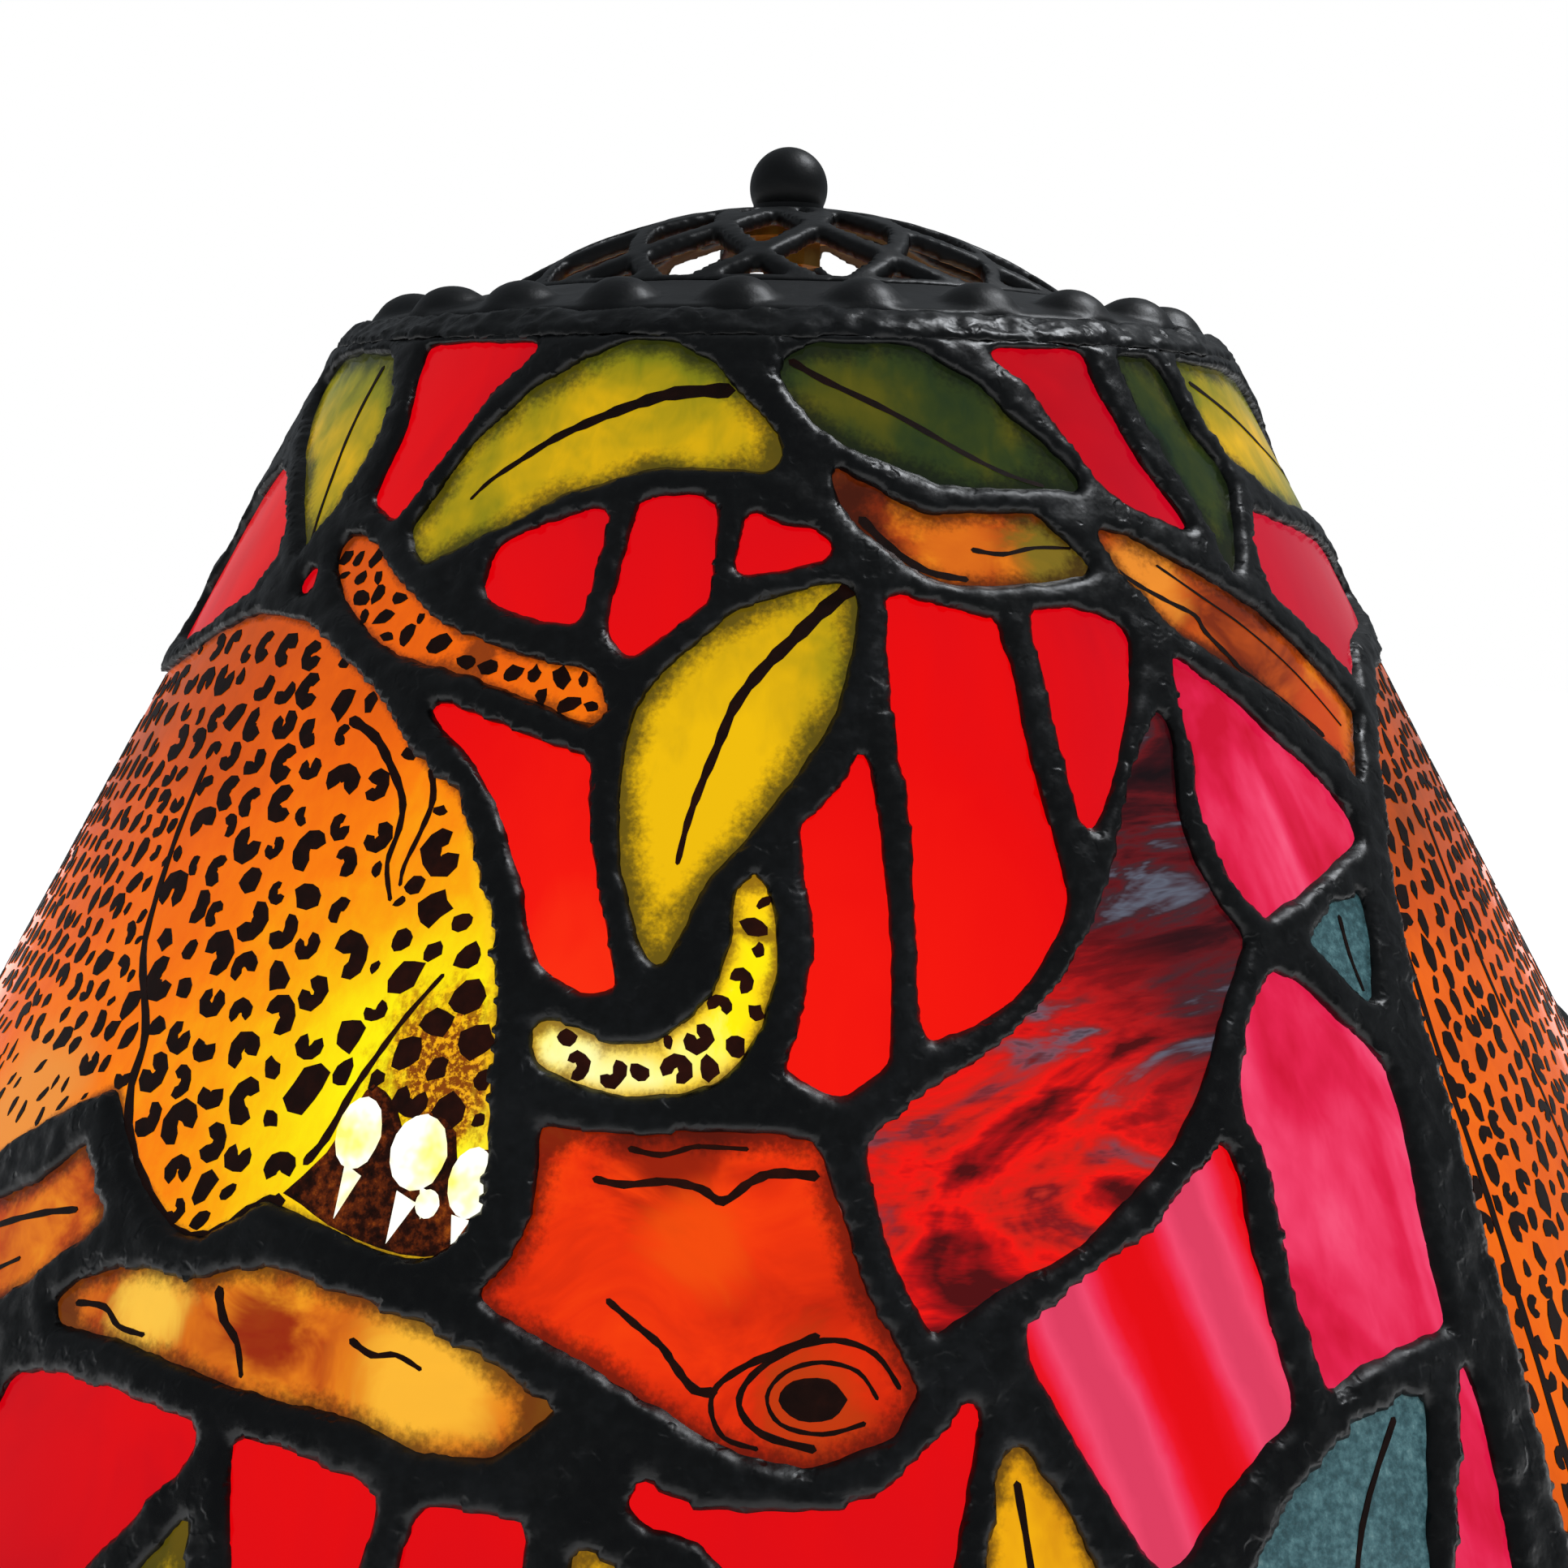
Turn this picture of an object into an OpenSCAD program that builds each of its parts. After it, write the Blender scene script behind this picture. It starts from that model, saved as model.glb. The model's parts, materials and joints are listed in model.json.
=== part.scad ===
// Table lamp with a leaded glass cone shade, a pierced metal cap and a cast base.
// Two bulbs stand out from a cluster under the shade, each with a pull chain.
// +Z is up, the front faces -Y, and the origin is the middle of the underside.

/* [Shade] */
// Diameter of the glass at its top edge
shade_top_d = 140; // [130:2:150]
// Diameter of the glass at its bottom edge
shade_bottom_d = 406; // [380:2:430]
// Height of the glass cone
shade_h = 230; // [210:5:250]
// Thickness of the glass, measured level
glass_t = 3.2; // [2.6:0.2:3.6]
// How far the solder stands proud of the glass on each side
solder_proud = 1.2; // [0.8:0.2:1.6]

/* [Cap] */
// Radius of the pierced dome where it meets its flange
dome_r = 47; // [42:1:50]
// Rise of the dome above its flange
dome_rise = 15; // [12:1:18]
// Thickness of the dome metal
dome_t = 2.2; // [1.8:0.2:2.6]
// Number of ribs that lean each way
rib_n = 13; // [10:1:16]
// Width of a rib
rib_w = 3; // [2.5:0.25:4]
// Number of beads around the flange
bead_n = 24; // [20:2:26]
// Diameter of the ball on top
ball_d = 12.4; // [12:0.1:15]

/* [Base and column] */
// Height of the top edge of the glass above the table
glass_top_z = 560; // [545:5:600]
// Radius of the cast foot
foot_r = 102.5; // [98:0.5:112]
// Radius of the threaded pipe
pipe_r = 4.85; // [4.6:0.05:5]
// Radius of the thin rod above the cluster
rod_r = 2.4; // [2:0.1:2.6]

/* [Light] */
// Height of the crossing of the two socket axes
cluster_z = 388; // [380:1:395]
// Lean of each socket away from upright, in degrees
socket_tilt = 45; // [40:1:48]
// Bearing of the front socket, in degrees to the right of the front
socket_bearing = -8; // [-20:1:20]
// Radius of the bulb globe
globe_r = 22.5; // [20:0.5:23]
// Height that a pull chain hangs down from its guide
chain_drop = 88; // [70:2:100]

/* [Fits] */
// Gap around the threaded pipe and rod in the parts that they pass through
rod_gap = 0.3; // [0.2:0.05:0.4]
// Gap around the bulb cap in its screw shell
bulb_gap = 0.3; // [0.2:0.05:0.4]
// Gap around a chain bead in its guide
chain_gap = 0.7; // [0.5:0.1:1]

/* [Hidden] */

// Cone of the shade: level radius and real height at d, where d runs down from the
// top edge and is 230 at the bottom edge
full_d = 230;
shade_top_r = shade_top_d / 2;
shade_bottom_r = shade_bottom_d / 2;
shade_bottom_z = glass_top_z - shade_h;
function cone_r(d) = shade_top_r + (shade_bottom_r - shade_top_r) * d / full_d;
function drop(d) = d * shade_h / full_d;
glass_skin = 0.4;
web_out = glass_skin + 0.4;
web_in = glass_skin + glass_t + solder_proud - 0.4;
sector_n = 12;

// Cap heights
ring_top_z = glass_top_z + 4.2;
flange_z = glass_top_z + 8.5;
dome_sphere_r = (dome_r * dome_r + dome_rise * dome_rise) / (2 * dome_rise);
apex_z = flange_z + dome_rise;
crown_r = 10;
crown_under_z = apex_z - 3;
ring_inner_r = shade_top_r - 3.7;
bead_ring_r = shade_top_r - 10;
bead_r = PI * bead_ring_r / bead_n * 0.79;
bead_h = 4.6;
rib_sweep = 53;
rib_turn = -6;
ball_z = apex_z + 3.5;
finial_seat_z = apex_z + 0.8;
rod_top_z = ball_z + 2;

// Base and column heights
felt_t = 1.5;
nut_z = 5;
weight_z = 10.5;
hub_z = 22;
foot_top_z = 54;
knop_z = 140;
knop_h = 16;
neck_z = 340;
cluster_bottom_z = cluster_z - 18;
cluster_top_z = cluster_z + 18;
pipe_top_z = cluster_top_z + 3;
coupling_top_z = cluster_top_z + 12;
bushing_z = 7.5;
bushing_r = 4.4;
wire_r = 1.2;

// Sockets, measured along their own axis from the crossing in the cluster
arm_r = 4.85;
arm_start = 12;
cap_start = 26;
shell_start = 40;
shell_end = 78;
shell_r = 17;
shell_t = 0.6;
liner_t = 0.8;
core_r = 15.4;
screw_r = 13;
bulb_cap_start = 52;
globe_mid = 106;
bead_chain_r = 1.6;
bead_step = 4.2;
guide_reach = 48;
guide_r = 4.2;
guide_h = 12;

// One glass pane's outline is a list of [bearing, d]: the bearing in degrees to the
// right of the front, and d as above. Each outline appears twice, half a turn apart.
red_panes = [
    [[-43, 0.5], [-24.5, 0.5], [-29.5, 7], [-33, 16], [-35.5, 23], [-36.5, 23.5],
        [-40.5, 21], [-40, 12], [-42, 4]],
    [[20.5, 0.5], [33, 0.5], [33.2, 6], [34.8, 12.5], [37, 18.5], [39.3, 24.2], [35.2, 22],
        [32, 20], [29.5, 18], [27, 12.5], [24.5, 6], [21, 2.5]],
    [[50, 20.5], [56, 22.5], [62, 24], [69, 26], [76, 30], [79, 35], [70, 38], [60, 39],
        [57, 42], [54.5, 45], [53, 41], [51, 37.5], [48.5, 34], [46, 31], [46.5, 27],
        [47, 24.5]],
    [[-66, 17], [-60, 18.5], [-56, 21], [-52.5, 24.3], [-51.5, 28], [-52.3, 33],
        [-55.5, 35.5], [-61, 40], [-67, 43], [-73, 43], [-76, 38], [-75, 30], [-72, 22]],
    [[-44.8, 29], [-43.3, 29.5], [-42.5, 33], [-46, 32.7]],
    [[-28.6, 29.7], [-26.7, 28], [-26.2, 30.5], [-27.2, 31.2]],
    [[-14.4, 20.4], [-16.5, 20.8], [-20, 22.4], [-24.2, 25], [-24.6, 30], [-23.5, 32],
        [-19.5, 33.7], [-15.6, 34.1], [-15, 32], [-14.6, 26]],
    [[-12.4, 19.3], [-8, 18.7], [-6, 19.3], [-5.4, 20.5], [-5.4, 30], [-5.7, 31.3],
        [-8.8, 35], [-10.8, 37.5], [-12, 36.7], [-13.2, 35], [-13.1, 28]],
    [[-3.2, 20.3], [-2.2, 20.4], [0, 22], [2.5, 22.4], [4.6, 24.7], [3.3, 26.3],
        [-1.5, 28], [-4.2, 28.4], [-3.6, 24]],
    [[-26.5, 42.7], [-23.8, 43.2], [-18.3, 45.5], [-12.7, 47.6], [-12, 54], [-11, 60],
        [-9.7, 66], [-8.6, 71], [-11, 71.2], [-13.8, 69.3], [-14.8, 66], [-15.7, 62],
        [-18, 55], [-21, 49.5], [-25.5, 45]],
    [[5.5, 45.5], [4, 49.5], [1.2, 54], [1.3, 58], [2, 66], [1.5, 71], [0.2, 78], [2, 79],
        [3.5, 80.3], [6.2, 77], [6.5, 70], [6.5, 61], [6.1, 49]],
    [[7.5, 29], [10, 30], [13.5, 31.5], [16.7, 32.3], [17, 41], [17, 47], [17.7, 56],
        [18, 62], [17.3, 64.5], [15, 69], [12.8, 72.5], [9.5, 74.5], [7.8, 75.5],
        [7.9, 65], [8.2, 54], [7.6, 46], [7.6, 36]],
    [[18.9, 31.5], [22.5, 31.3], [25, 32], [27.3, 33.8], [27.5, 36], [26.5, 40],
        [25, 45], [23, 50.5], [20.2, 56.5], [19.5, 54], [19.2, 44], [19, 37]],
    [[-38.7, 117.5], [-35.3, 115], [-30.6, 114.2], [-26.5, 114.2], [-25.7, 115.5],
        [-26.5, 119], [-29.5, 128.5], [-31.5, 138], [-33, 146], [-38, 146],
        [-39.5, 134], [-39, 121]],
    [[-24.3, 114.5], [-20.5, 114.2], [-17.4, 115.2], [-16.3, 116.8], [-16.7, 122.5],
        [-17.5, 133], [-18, 146], [-22.5, 146], [-21.5, 137], [-22.6, 125],
        [-23.6, 120]],
    [[-14.7, 116], [-10.5, 115.7], [-9.8, 117], [-9.9, 124], [-10.3, 134], [-8.5, 142],
        [-8.3, 146], [-15.8, 146], [-15.4, 132], [-15.2, 121]],
    [[-5.4, 112.3], [-6.2, 114.3], [-5, 116], [-3, 117], [-1.8, 119], [-1.2, 124],
        [-1.2, 134], [-2.5, 146], [6.5, 146], [5.8, 136], [6.4, 126], [7.6, 118],
        [8.3, 113], [9.1, 107.5], [9.4, 103.8], [7.5, 108], [4.9, 112.3], [2.2, 114.2],
        [-1, 114.3], [-3.1, 113.7]],
    [[15.5, 125], [17.5, 124.5], [17, 130], [17.2, 138], [18.5, 146], [14, 146],
        [15.2, 138], [15.8, 130]],
    [[-93, 1], [-74, 1], [-73, 6], [-77, 12], [-86, 14], [-94, 13]],
    [[-85, 109], [-76, 115.5], [-66, 117.5], [-61.5, 116], [-60.5, 124], [-62, 129],
        [-74, 131], [-85, 129]],
    [[60.5, 134], [73, 132], [84, 132], [92.5, 131.5], [92.5, 146], [78, 146],
        [54, 146], [57, 141]]];
pink_panes = [
    [[31, 37], [30.3, 39], [30, 47.5], [29, 52.5], [28.9, 57], [29.7, 63], [31.7, 67],
        [37.5, 64], [44, 61], [44, 57.5], [42.5, 53], [39.5, 48.5], [36, 42.5], [33, 39]],
    [[30.8, 71.3], [33, 73.5], [36, 79.5], [37.6, 84], [37, 91], [36, 97], [35.3, 104],
        [34.8, 109], [31.5, 109], [28, 109.7], [26, 111], [25.7, 105], [25.8, 96],
        [26.2, 90], [25.8, 85], [26, 81], [27.5, 76.5], [29, 73.5]],
    [[35, 111.5], [34, 112.7], [32.5, 118.5], [31.3, 123], [30, 128], [29, 137],
        [29, 146], [33.5, 146], [33.4, 132], [34.4, 124], [35.2, 116]],
    [[92.5, 102.5], [85, 103.5], [78, 107], [71.5, 114], [67.5, 122], [66, 129],
        [74, 128.5], [84, 128.5], [92.5, 128]],
    [[-49, 123], [-44.5, 120], [-42, 118], [-41.8, 128], [-40.8, 146], [-50, 146],
        [-55, 143], [-49, 132]]];
striped_panes = [
    [[24.2, 86], [21.5, 89.5], [18.2, 93.5], [14.5, 96.7], [11.5, 100], [11.5, 103],
        [13, 110], [15, 118], [16, 122], [17, 121.5], [19.5, 117], [22, 113.8],
        [24.2, 111.7], [24.1, 105], [24.2, 97], [24.5, 90]]];
streaky_panes = [
    [[28.5, 42], [28.8, 47], [27.5, 54], [27.5, 59.5], [28.7, 65], [29.8, 68],
        [28.3, 71], [26, 75.5], [24.7, 79], [23.5, 82.2], [21, 86.7], [18.7, 89.7],
        [15, 94.3], [10.7, 97.5], [7.2, 101], [5.7, 95], [5, 90], [4.4, 84], [6.5, 80.7],
        [10.2, 77], [13.2, 74], [16.4, 69.7], [19.5, 63.3], [21.4, 58], [23.8, 50.5],
        [26.5, 45.5]]];
green_leaf_panes = [
    [[-48, 2], [-46, 4], [-44, 7], [-43.3, 12], [-43.5, 16], [-45, 22], [-47, 29.5],
        [-49, 26], [-54.6, 20], [-60, 15], [-66, 10], [-70, 5], [-66, 2], [-57, 1]],
    [[-18, 1.5], [-16, 0.5], [-11.5, 0.5], [-7, 3], [-4, 7], [-1.5, 10], [-0.5, 12],
        [0, 15], [-1.5, 16.5], [-5, 16], [-12, 16], [-15, 17.5], [-19, 19.5],
        [-23.5, 23], [-31, 28.5], [-34, 24.5], [-32.8, 20], [-30.2, 13], [-26, 7],
        [-21, 3]],
    [[4.6, 28], [0, 29.7], [-2.7, 31], [-4.7, 33], [-7, 36], [-8.7, 38.7], [-10, 42.3],
        [-10.5, 46], [-10.4, 52], [-9.9, 58], [-8.3, 65.3], [-6.9, 69.8], [-5.9, 66.6],
        [-4, 59.5], [-2.5, 56.5], [0, 51.5], [2.7, 45.8], [4, 42.5], [5, 37.2],
        [5.8, 30]],
    [[47, 1], [60, 1.5], [70, 3], [78, 8], [84, 14], [84, 22], [80, 26], [70, 22.5],
        [60, 20.3], [55, 18], [50, 14], [47.5, 10], [47, 4]],
    [[-25.2, 121], [-26.9, 127], [-28.5, 135], [-28.5, 146], [-26, 146], [-24, 137],
        [-23.9, 130]],
    [[-93, 17], [-84, 18], [-77, 16], [-74.5, 19], [-77.5, 27], [-79, 36], [-81, 43],
        [-87, 38], [-96, 33], [-96.5, 28]]];
dark_leaf_panes = [
    [[3.5, 0.5], [9.5, 0.5], [13.5, 1], [16, 3], [19, 5], [21.5, 9], [24, 11.5],
        [26, 14.5], [28, 18.5], [23, 18], [16.5, 18], [13.5, 17.5], [8, 14.5], [5, 13],
        [2.5, 10.5], [-0.5, 6], [-1, 4], [1, 1.5]],
    [[36.5, 1], [43.5, 1], [45, 4], [45.2, 10], [48, 15], [48.3, 18], [47, 20],
        [45, 24.5], [42, 29.5], [41, 26], [40.3, 20], [38.4, 13.5], [37.2, 8]]];
teal_leaf_panes = [
    [[34.3, 69.5], [37.5, 66.7], [40, 66], [42, 65.7], [41.5, 69], [39.5, 75],
        [38.5, 78], [37, 76], [35.5, 72.5]],
    [[32, 113.5], [30.2, 112.5], [26.7, 113.5], [25, 115], [22.4, 117.7], [20, 122.7],
        [19.2, 131], [20.2, 140], [21.5, 146], [26, 146], [27.3, 137], [29.3, 125],
        [31, 118]],
    [[-86, 134], [-78, 135], [-66, 134], [-58, 131], [-53, 129], [-57, 138], [-66, 144],
        [-78, 146], [-84, 142]]];
yellow_leaf_panes = [
    [[10.2, 109.3], [11, 109.8], [12.6, 116], [13.7, 122], [13.8, 130], [13.2, 138],
        [11, 146], [8.6, 146], [7.6, 136], [8, 127], [8.6, 119.7], [9.5, 112]],
    [[-8, 117], [-6.3, 118.5], [-3.2, 124], [-3, 132], [-4.5, 146], [-6, 146],
        [-8, 133], [-8, 122]]];
branch_panes = [
    [[3.5, 15], [5, 15.5], [9.5, 19], [12, 20.5], [21.5, 20.5], [22.8, 22],
        [25.9, 26.6], [25.4, 28.2], [21.5, 28.6], [17, 29.3], [12.5, 28.8], [10, 27], [6, 22.5],
        [4.5, 19.5]],
    [[26.5, 22.5], [30, 22.8], [33, 24.8], [37.5, 28.2], [43, 32.4], [47.2, 37.6],
        [50, 42], [52.5, 47], [49.5, 51], [47, 55.5], [46, 51.5], [43, 46],
        [39, 41], [34, 36.5], [32, 34.5], [29.8, 30.5], [28.2, 27]],
    [[-38, 110], [-37, 107.3], [-35, 105], [-33.4, 103.8], [-29.5, 103], [-26.4, 100.3],
        [-23.8, 99.7], [-20.4, 100.5], [-16.2, 101.5], [-14.4, 102.8], [-11.8, 104.6],
        [-9.2, 107], [-10.1, 109], [-11.8, 112], [-15.2, 112.5], [-18.8, 111],
        [-23.8, 111], [-27.9, 110.7], [-32.7, 110.8], [-37, 112]],
    [[-40.8, 94.8], [-38, 98], [-36.5, 101], [-38.4, 105], [-40.5, 110], [-44, 116],
        [-50, 120], [-56, 123], [-58, 118], [-52, 111], [-47, 105], [-44, 101.5],
        [-42.2, 98]]];
log_panes = [
    [[-12.3, 83], [-8, 83.5], [-3.5, 82.7], [0.5, 82.8], [2.3, 84], [3, 88.7],
        [4.2, 95.5], [5, 99], [6.3, 104], [6.4, 105.5], [5.3, 108.7], [2.8, 110.8],
        [1.5, 111.3], [-1.4, 110.2], [-2.7, 109], [-5.3, 106.4], [-8.7, 103.2],
        [-12.3, 100.7], [-14.3, 99], [-12.6, 95.5], [-11.8, 91], [-12, 86]]];
leopard_panes = [
    [[-47.5, 35.5], [-43, 35.7], [-39.5, 36.5], [-37.5, 38], [-34, 40.3], [-29.5, 44],
        [-25.5, 49], [-21.5, 52], [-20, 56], [-17, 64.5], [-15.8, 71], [-15.2, 79],
        [-14.5, 85], [-14.3, 91], [-15.3, 94.5], [-17, 97], [-20.5, 96.5], [-23.5, 95.2],
        [-26.5, 94.6], [-29.5, 99.5], [-31, 100], [-33, 99], [-36.5, 95], [-40.5, 89.5],
        [-44, 93.5], [-47, 98], [-50, 103], [-57, 109], [-66, 113], [-76, 110],
        [-84, 104], [-84, 50], [-75, 48.5], [-68, 46], [-62, 43], [-57, 39.5],
        [-52, 36.5]],
    [[57.5, 46], [62, 43], [70, 42], [80, 39.5], [88, 41], [92, 50], [92, 98],
        [84, 99], [76, 103], [68, 111], [62, 124], [57, 134], [52, 140], [44, 146],
        [37, 146], [36.5, 138], [37.2, 130], [38, 120], [39.3, 109], [40.8, 95],
        [41.8, 86.5], [42.6, 78], [44.3, 70], [46, 65], [48.5, 58.5], [51.5, 53]]];
tail_panes = [
    [[-41.5, 25.3], [-39.5, 24.8], [-37, 25.7], [-35.3, 27.5], [-33, 29.7],
        [-28, 33.7], [-25.2, 35.3], [-21.8, 36.5], [-17, 38], [-14, 38.3], [-12.7, 40],
        [-11.9, 42.5], [-12.4, 45], [-14, 44.5], [-19, 42], [-24, 40], [-27.2, 39.7],
        [-30.2, 38.7], [-33.5, 37], [-36.8, 34.7], [-39.7, 31.6], [-41.5, 29],
        [-42, 27]],
    [[-13.6, 73.5], [-13.4, 77.5], [-12, 79], [-10, 80], [-8, 80.5], [-5.5, 80.2],
        [-3, 79], [-1.8, 76.7], [-0.7, 73], [0, 68], [0, 64], [-0.3, 61.5],
        [-1, 58.3], [-1.5, 58.3], [-2.8, 60.7], [-2.7, 65.5], [-3.5, 70], [-5, 73],
        [-6.5, 75], [-9, 75.2], [-11.7, 74]]];

// Skirt of the shade, repeated all round: a leaf and two panes beside it
skirt_n = 12;
skirt_red_panes = [
    [[-13, 150.5], [6.5, 150.5], [3, 156], [-3, 165], [-8, 176], [-11.5, 187],
        [-13.2, 198]],
    [[13, 156], [13.2, 198.5], [-4.5, 198.5], [2.5, 192], [8, 183], [11.5, 172]]];
skirt_leaf_panes = [
    [[9, 151.5], [11.3, 158], [10, 169], [6, 180], [0, 190], [-7, 197],
        [-11.3, 198.5], [-10, 188], [-6.5, 177], [-1.5, 166.5], [4, 157.5]]];
border_n = 24;
border_upper_panes = [[[-7, 202.5], [7, 202.5], [7, 213.5], [-7, 213.5]]];
border_lower_panes = [[[-7, 217], [7, 217], [7, 227.5], [-7, 227.5]]];

all_panes = concat(red_panes, pink_panes, striped_panes, streaky_panes,
    green_leaf_panes, dark_leaf_panes, teal_leaf_panes, yellow_leaf_panes,
    branch_panes, log_panes, leopard_panes, tail_panes);
function bearings(pane) = [for (p = pane) p[0]];
function middle(pane) = (min(bearings(pane)) + max(bearings(pane))) / 2;

// Turn of a bearing: puts what is drawn at the front round to that side
module turned(a) rotate([0, 0, a]) children();

// The part of the front half that a pane's outline covers, seen from straight ahead
module pane_prism(pane) {
    mid = middle(pane);
    outline = [for (p = pane) [cone_r(p[1]) * sin(p[0] - mid), -drop(p[1])]];
    turned(mid) translate([0, 0, glass_top_z]) rotate([90, 0, 0])
        linear_extrude(height = shade_bottom_r + 40) polygon(outline);
}

module cone_shell(inset, thick, from = 0, to = 360) {
    turned(from - 90) rotate_extrude(angle = to - from, $fn = 144)
        polygon([[shade_top_r - inset - thick, glass_top_z],
            [shade_top_r - inset, glass_top_z],
            [shade_bottom_r - inset, shade_bottom_z],
            [shade_bottom_r - inset - thick, shade_bottom_z]]);
}

module glass_pane(pane) {
    span = max(bearings(pane)) - min(bearings(pane));
    mid = middle(pane);
    intersection() {
        cone_shell(glass_skin, glass_t, mid - span / 2 - 8, mid + span / 2 + 8);
        pane_prism(pane);
    }
}

module glass_pair(panes) {
    for (pane = panes, half = [0, 180]) turned(half) glass_pane(pane);
}

module glass_round(panes, n, offset_turn = 0) {
    for (pane = panes, k = [0 : n - 1])
        turned(offset_turn + k * 360 / n) glass_pane(pane);
}

// Prisms of the panes that reach the sector, given the turn that each stands at
module panes_near(panes, turn, from, to) {
    for (pane = panes) {
        left = min(bearings(pane)) + turn;
        right = max(bearings(pane)) + turn;
        near = [for (wrap = [-360, 0, 360]) if (left + wrap < to + 2 && right + wrap > from - 2) 1];
        if (len(near) > 0) turned(turn) pane_prism(pane);
    }
}

// One sector of the solder web: the shell between the panes
module web_sector(k) {
    step = 360 / sector_n;
    from = -180 + k * step;
    to = from + step;
    difference() {
        cone_shell(-web_out, web_out + web_in, from, to);
        for (half = [0, 180]) panes_near(all_panes, half, from, to);
        for (j = [0 : skirt_n - 1])
            panes_near(concat(skirt_red_panes, skirt_leaf_panes), j * 360 / skirt_n, from, to);
        for (j = [0 : border_n - 1]) {
            panes_near(border_upper_panes, j * 360 / border_n, from, to);
            panes_near(border_lower_panes, (j + 0.5) * 360 / border_n, from, to);
        }
    }
}

module solder_web_a() {
    color("#2b2f33") for (k = [0 : 2 : sector_n - 1]) web_sector(k);
}

module solder_web_b() {
    color("#2b2f33") for (k = [1 : 2 : sector_n - 1]) web_sector(k);
}

module glass_red() { color("#d8000a") glass_pair(red_panes); }
module glass_pink() { color("#f0386a") glass_pair(pink_panes); }
module glass_striped() { color("#e8204a") glass_pair(striped_panes); }
module glass_streaky() { color("#5a2030") glass_pair(streaky_panes); }
module glass_green_leaf() { color("#b4a010") glass_pair(green_leaf_panes); }
module glass_dark_leaf() { color("#3a4018") glass_pair(dark_leaf_panes); }
module glass_teal_leaf() { color("#5d7d78") glass_pair(teal_leaf_panes); }
module glass_yellow_leaf() { color("#f0b800") glass_pair(yellow_leaf_panes); }
module glass_branch() { color("#e08a20") glass_pair(branch_panes); }
module glass_log() { color("#e03c00") glass_pair(log_panes); }
module glass_leopard() { color("#e07818") glass_pair(leopard_panes); }
module glass_tail() { color("#e88c20") glass_pair(tail_panes); }
module glass_skirt_red() { color("#c80018") glass_round(skirt_red_panes, skirt_n); }
module glass_skirt_leaf() { color("#a0a018") glass_round(skirt_leaf_panes, skirt_n); }
module glass_border_upper() { color("#e08a20") glass_round(border_upper_panes, border_n); }
module glass_border_lower() {
    color("#8a3a10") glass_round(border_lower_panes, border_n, 180 / border_n);
}

module ring_of(profile) rotate_extrude($fn = 144) polygon(profile);

module top_ring() {
    outer_r = shade_top_r + web_out;
    color("#26292c") ring_of([[ring_inner_r, glass_top_z], [outer_r, glass_top_z],
        [outer_r - 0.3, glass_top_z + 1], [outer_r - 2.6, glass_top_z + 3],
        [ring_inner_r, ring_top_z]]);
}

module bottom_rim() {
    rim_h = 4;
    color("#26292c") ring_of([[shade_bottom_r - web_in, shade_bottom_z],
        [shade_bottom_r + web_out, shade_bottom_z],
        [shade_bottom_r + 1.6, shade_bottom_z - rim_h / 2],
        [shade_bottom_r + web_out, shade_bottom_z - rim_h],
        [shade_bottom_r - web_in, shade_bottom_z - rim_h]]);
}

// Sloping flange around the dome with a row of half-round beads on it
module bead_flange() {
    seat_r = dome_r - dome_t - 2;
    cap_r = (bead_r * bead_r + bead_h * bead_h) / (2 * bead_h);
    bead_seat_z = glass_top_z + 3.4;
    color("#26292c") union() {
        ring_of([[seat_r, flange_z - 2.3], [seat_r, flange_z], [dome_r + 1.5, flange_z],
            [ring_inner_r, ring_top_z - 0.4], [ring_inner_r, ring_top_z - 3.2],
            [dome_r + 3, flange_z - 3.3]]);
        for (k = [0 : bead_n - 1])
            turned(-5.8 + k * 360 / bead_n) translate([0, -bead_ring_r, bead_seat_z])
                rotate_extrude($fn = 48) intersection() {
                    translate([0, bead_h - cap_r]) circle(r = cap_r, $fn = 96);
                    square([bead_r, bead_h]);
                }
    }
}

// One rib seen from above: it runs out from the crown and swings round as it goes
module rib_outline(way) {
    reach = dome_r + 2;
    function swing(r) = way * rib_sweep * pow(max(r - 6, 0) / reach, 1.6);
    function half(r) = rib_w / 2 / r * 180 / PI * 1.15;
    out = [for (r = [6 : 4 : reach]) r * [sin(swing(r) + half(r)), -cos(swing(r) + half(r))]];
    back = [for (r = [6 : 4 : reach]) r * [sin(swing(r) - half(r)), -cos(swing(r) - half(r))]];
    polygon(concat(out, [for (i = [len(back) - 1 : -1 : 0]) back[i]]));
}

module cap_lattice() {
    color("#232629") union() {
        intersection() {
            translate([0, 0, apex_z - dome_sphere_r]) difference() {
                sphere(r = dome_sphere_r, $fn = 180);
                sphere(r = dome_sphere_r - dome_t, $fn = 180);
            }
            translate([0, 0, flange_z]) linear_extrude(height = dome_rise + 1) difference() {
                union() {
                    circle(r = crown_r + 1, $fn = 72);
                    for (k = [0 : rib_n - 1], way = [-1, 1])
                        rotate(rib_turn + k * 360 / rib_n) rib_outline(way);
                    difference() {
                        circle(r = dome_r + 2, $fn = 144);
                        circle(r = dome_r - 2, $fn = 144);
                    }
                }
                circle(r = rod_r + rod_gap, $fn = 48);
            }
        }
        translate([0, 0, crown_under_z]) difference() {
            cylinder(r = crown_r, h = 1.6, $fn = 72);
            translate([0, 0, -1]) cylinder(r = rod_r + rod_gap, h = 5, $fn = 48);
        }
    }
}

module finial_washer() {
    color("#26292c") translate([0, 0, apex_z]) difference() {
        cylinder(r = ball_d / 2 - 0.6, h = finial_seat_z - apex_z, $fn = 64);
        translate([0, 0, -1]) cylinder(r = rod_r + rod_gap, h = 4, $fn = 48);
    }
}

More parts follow.
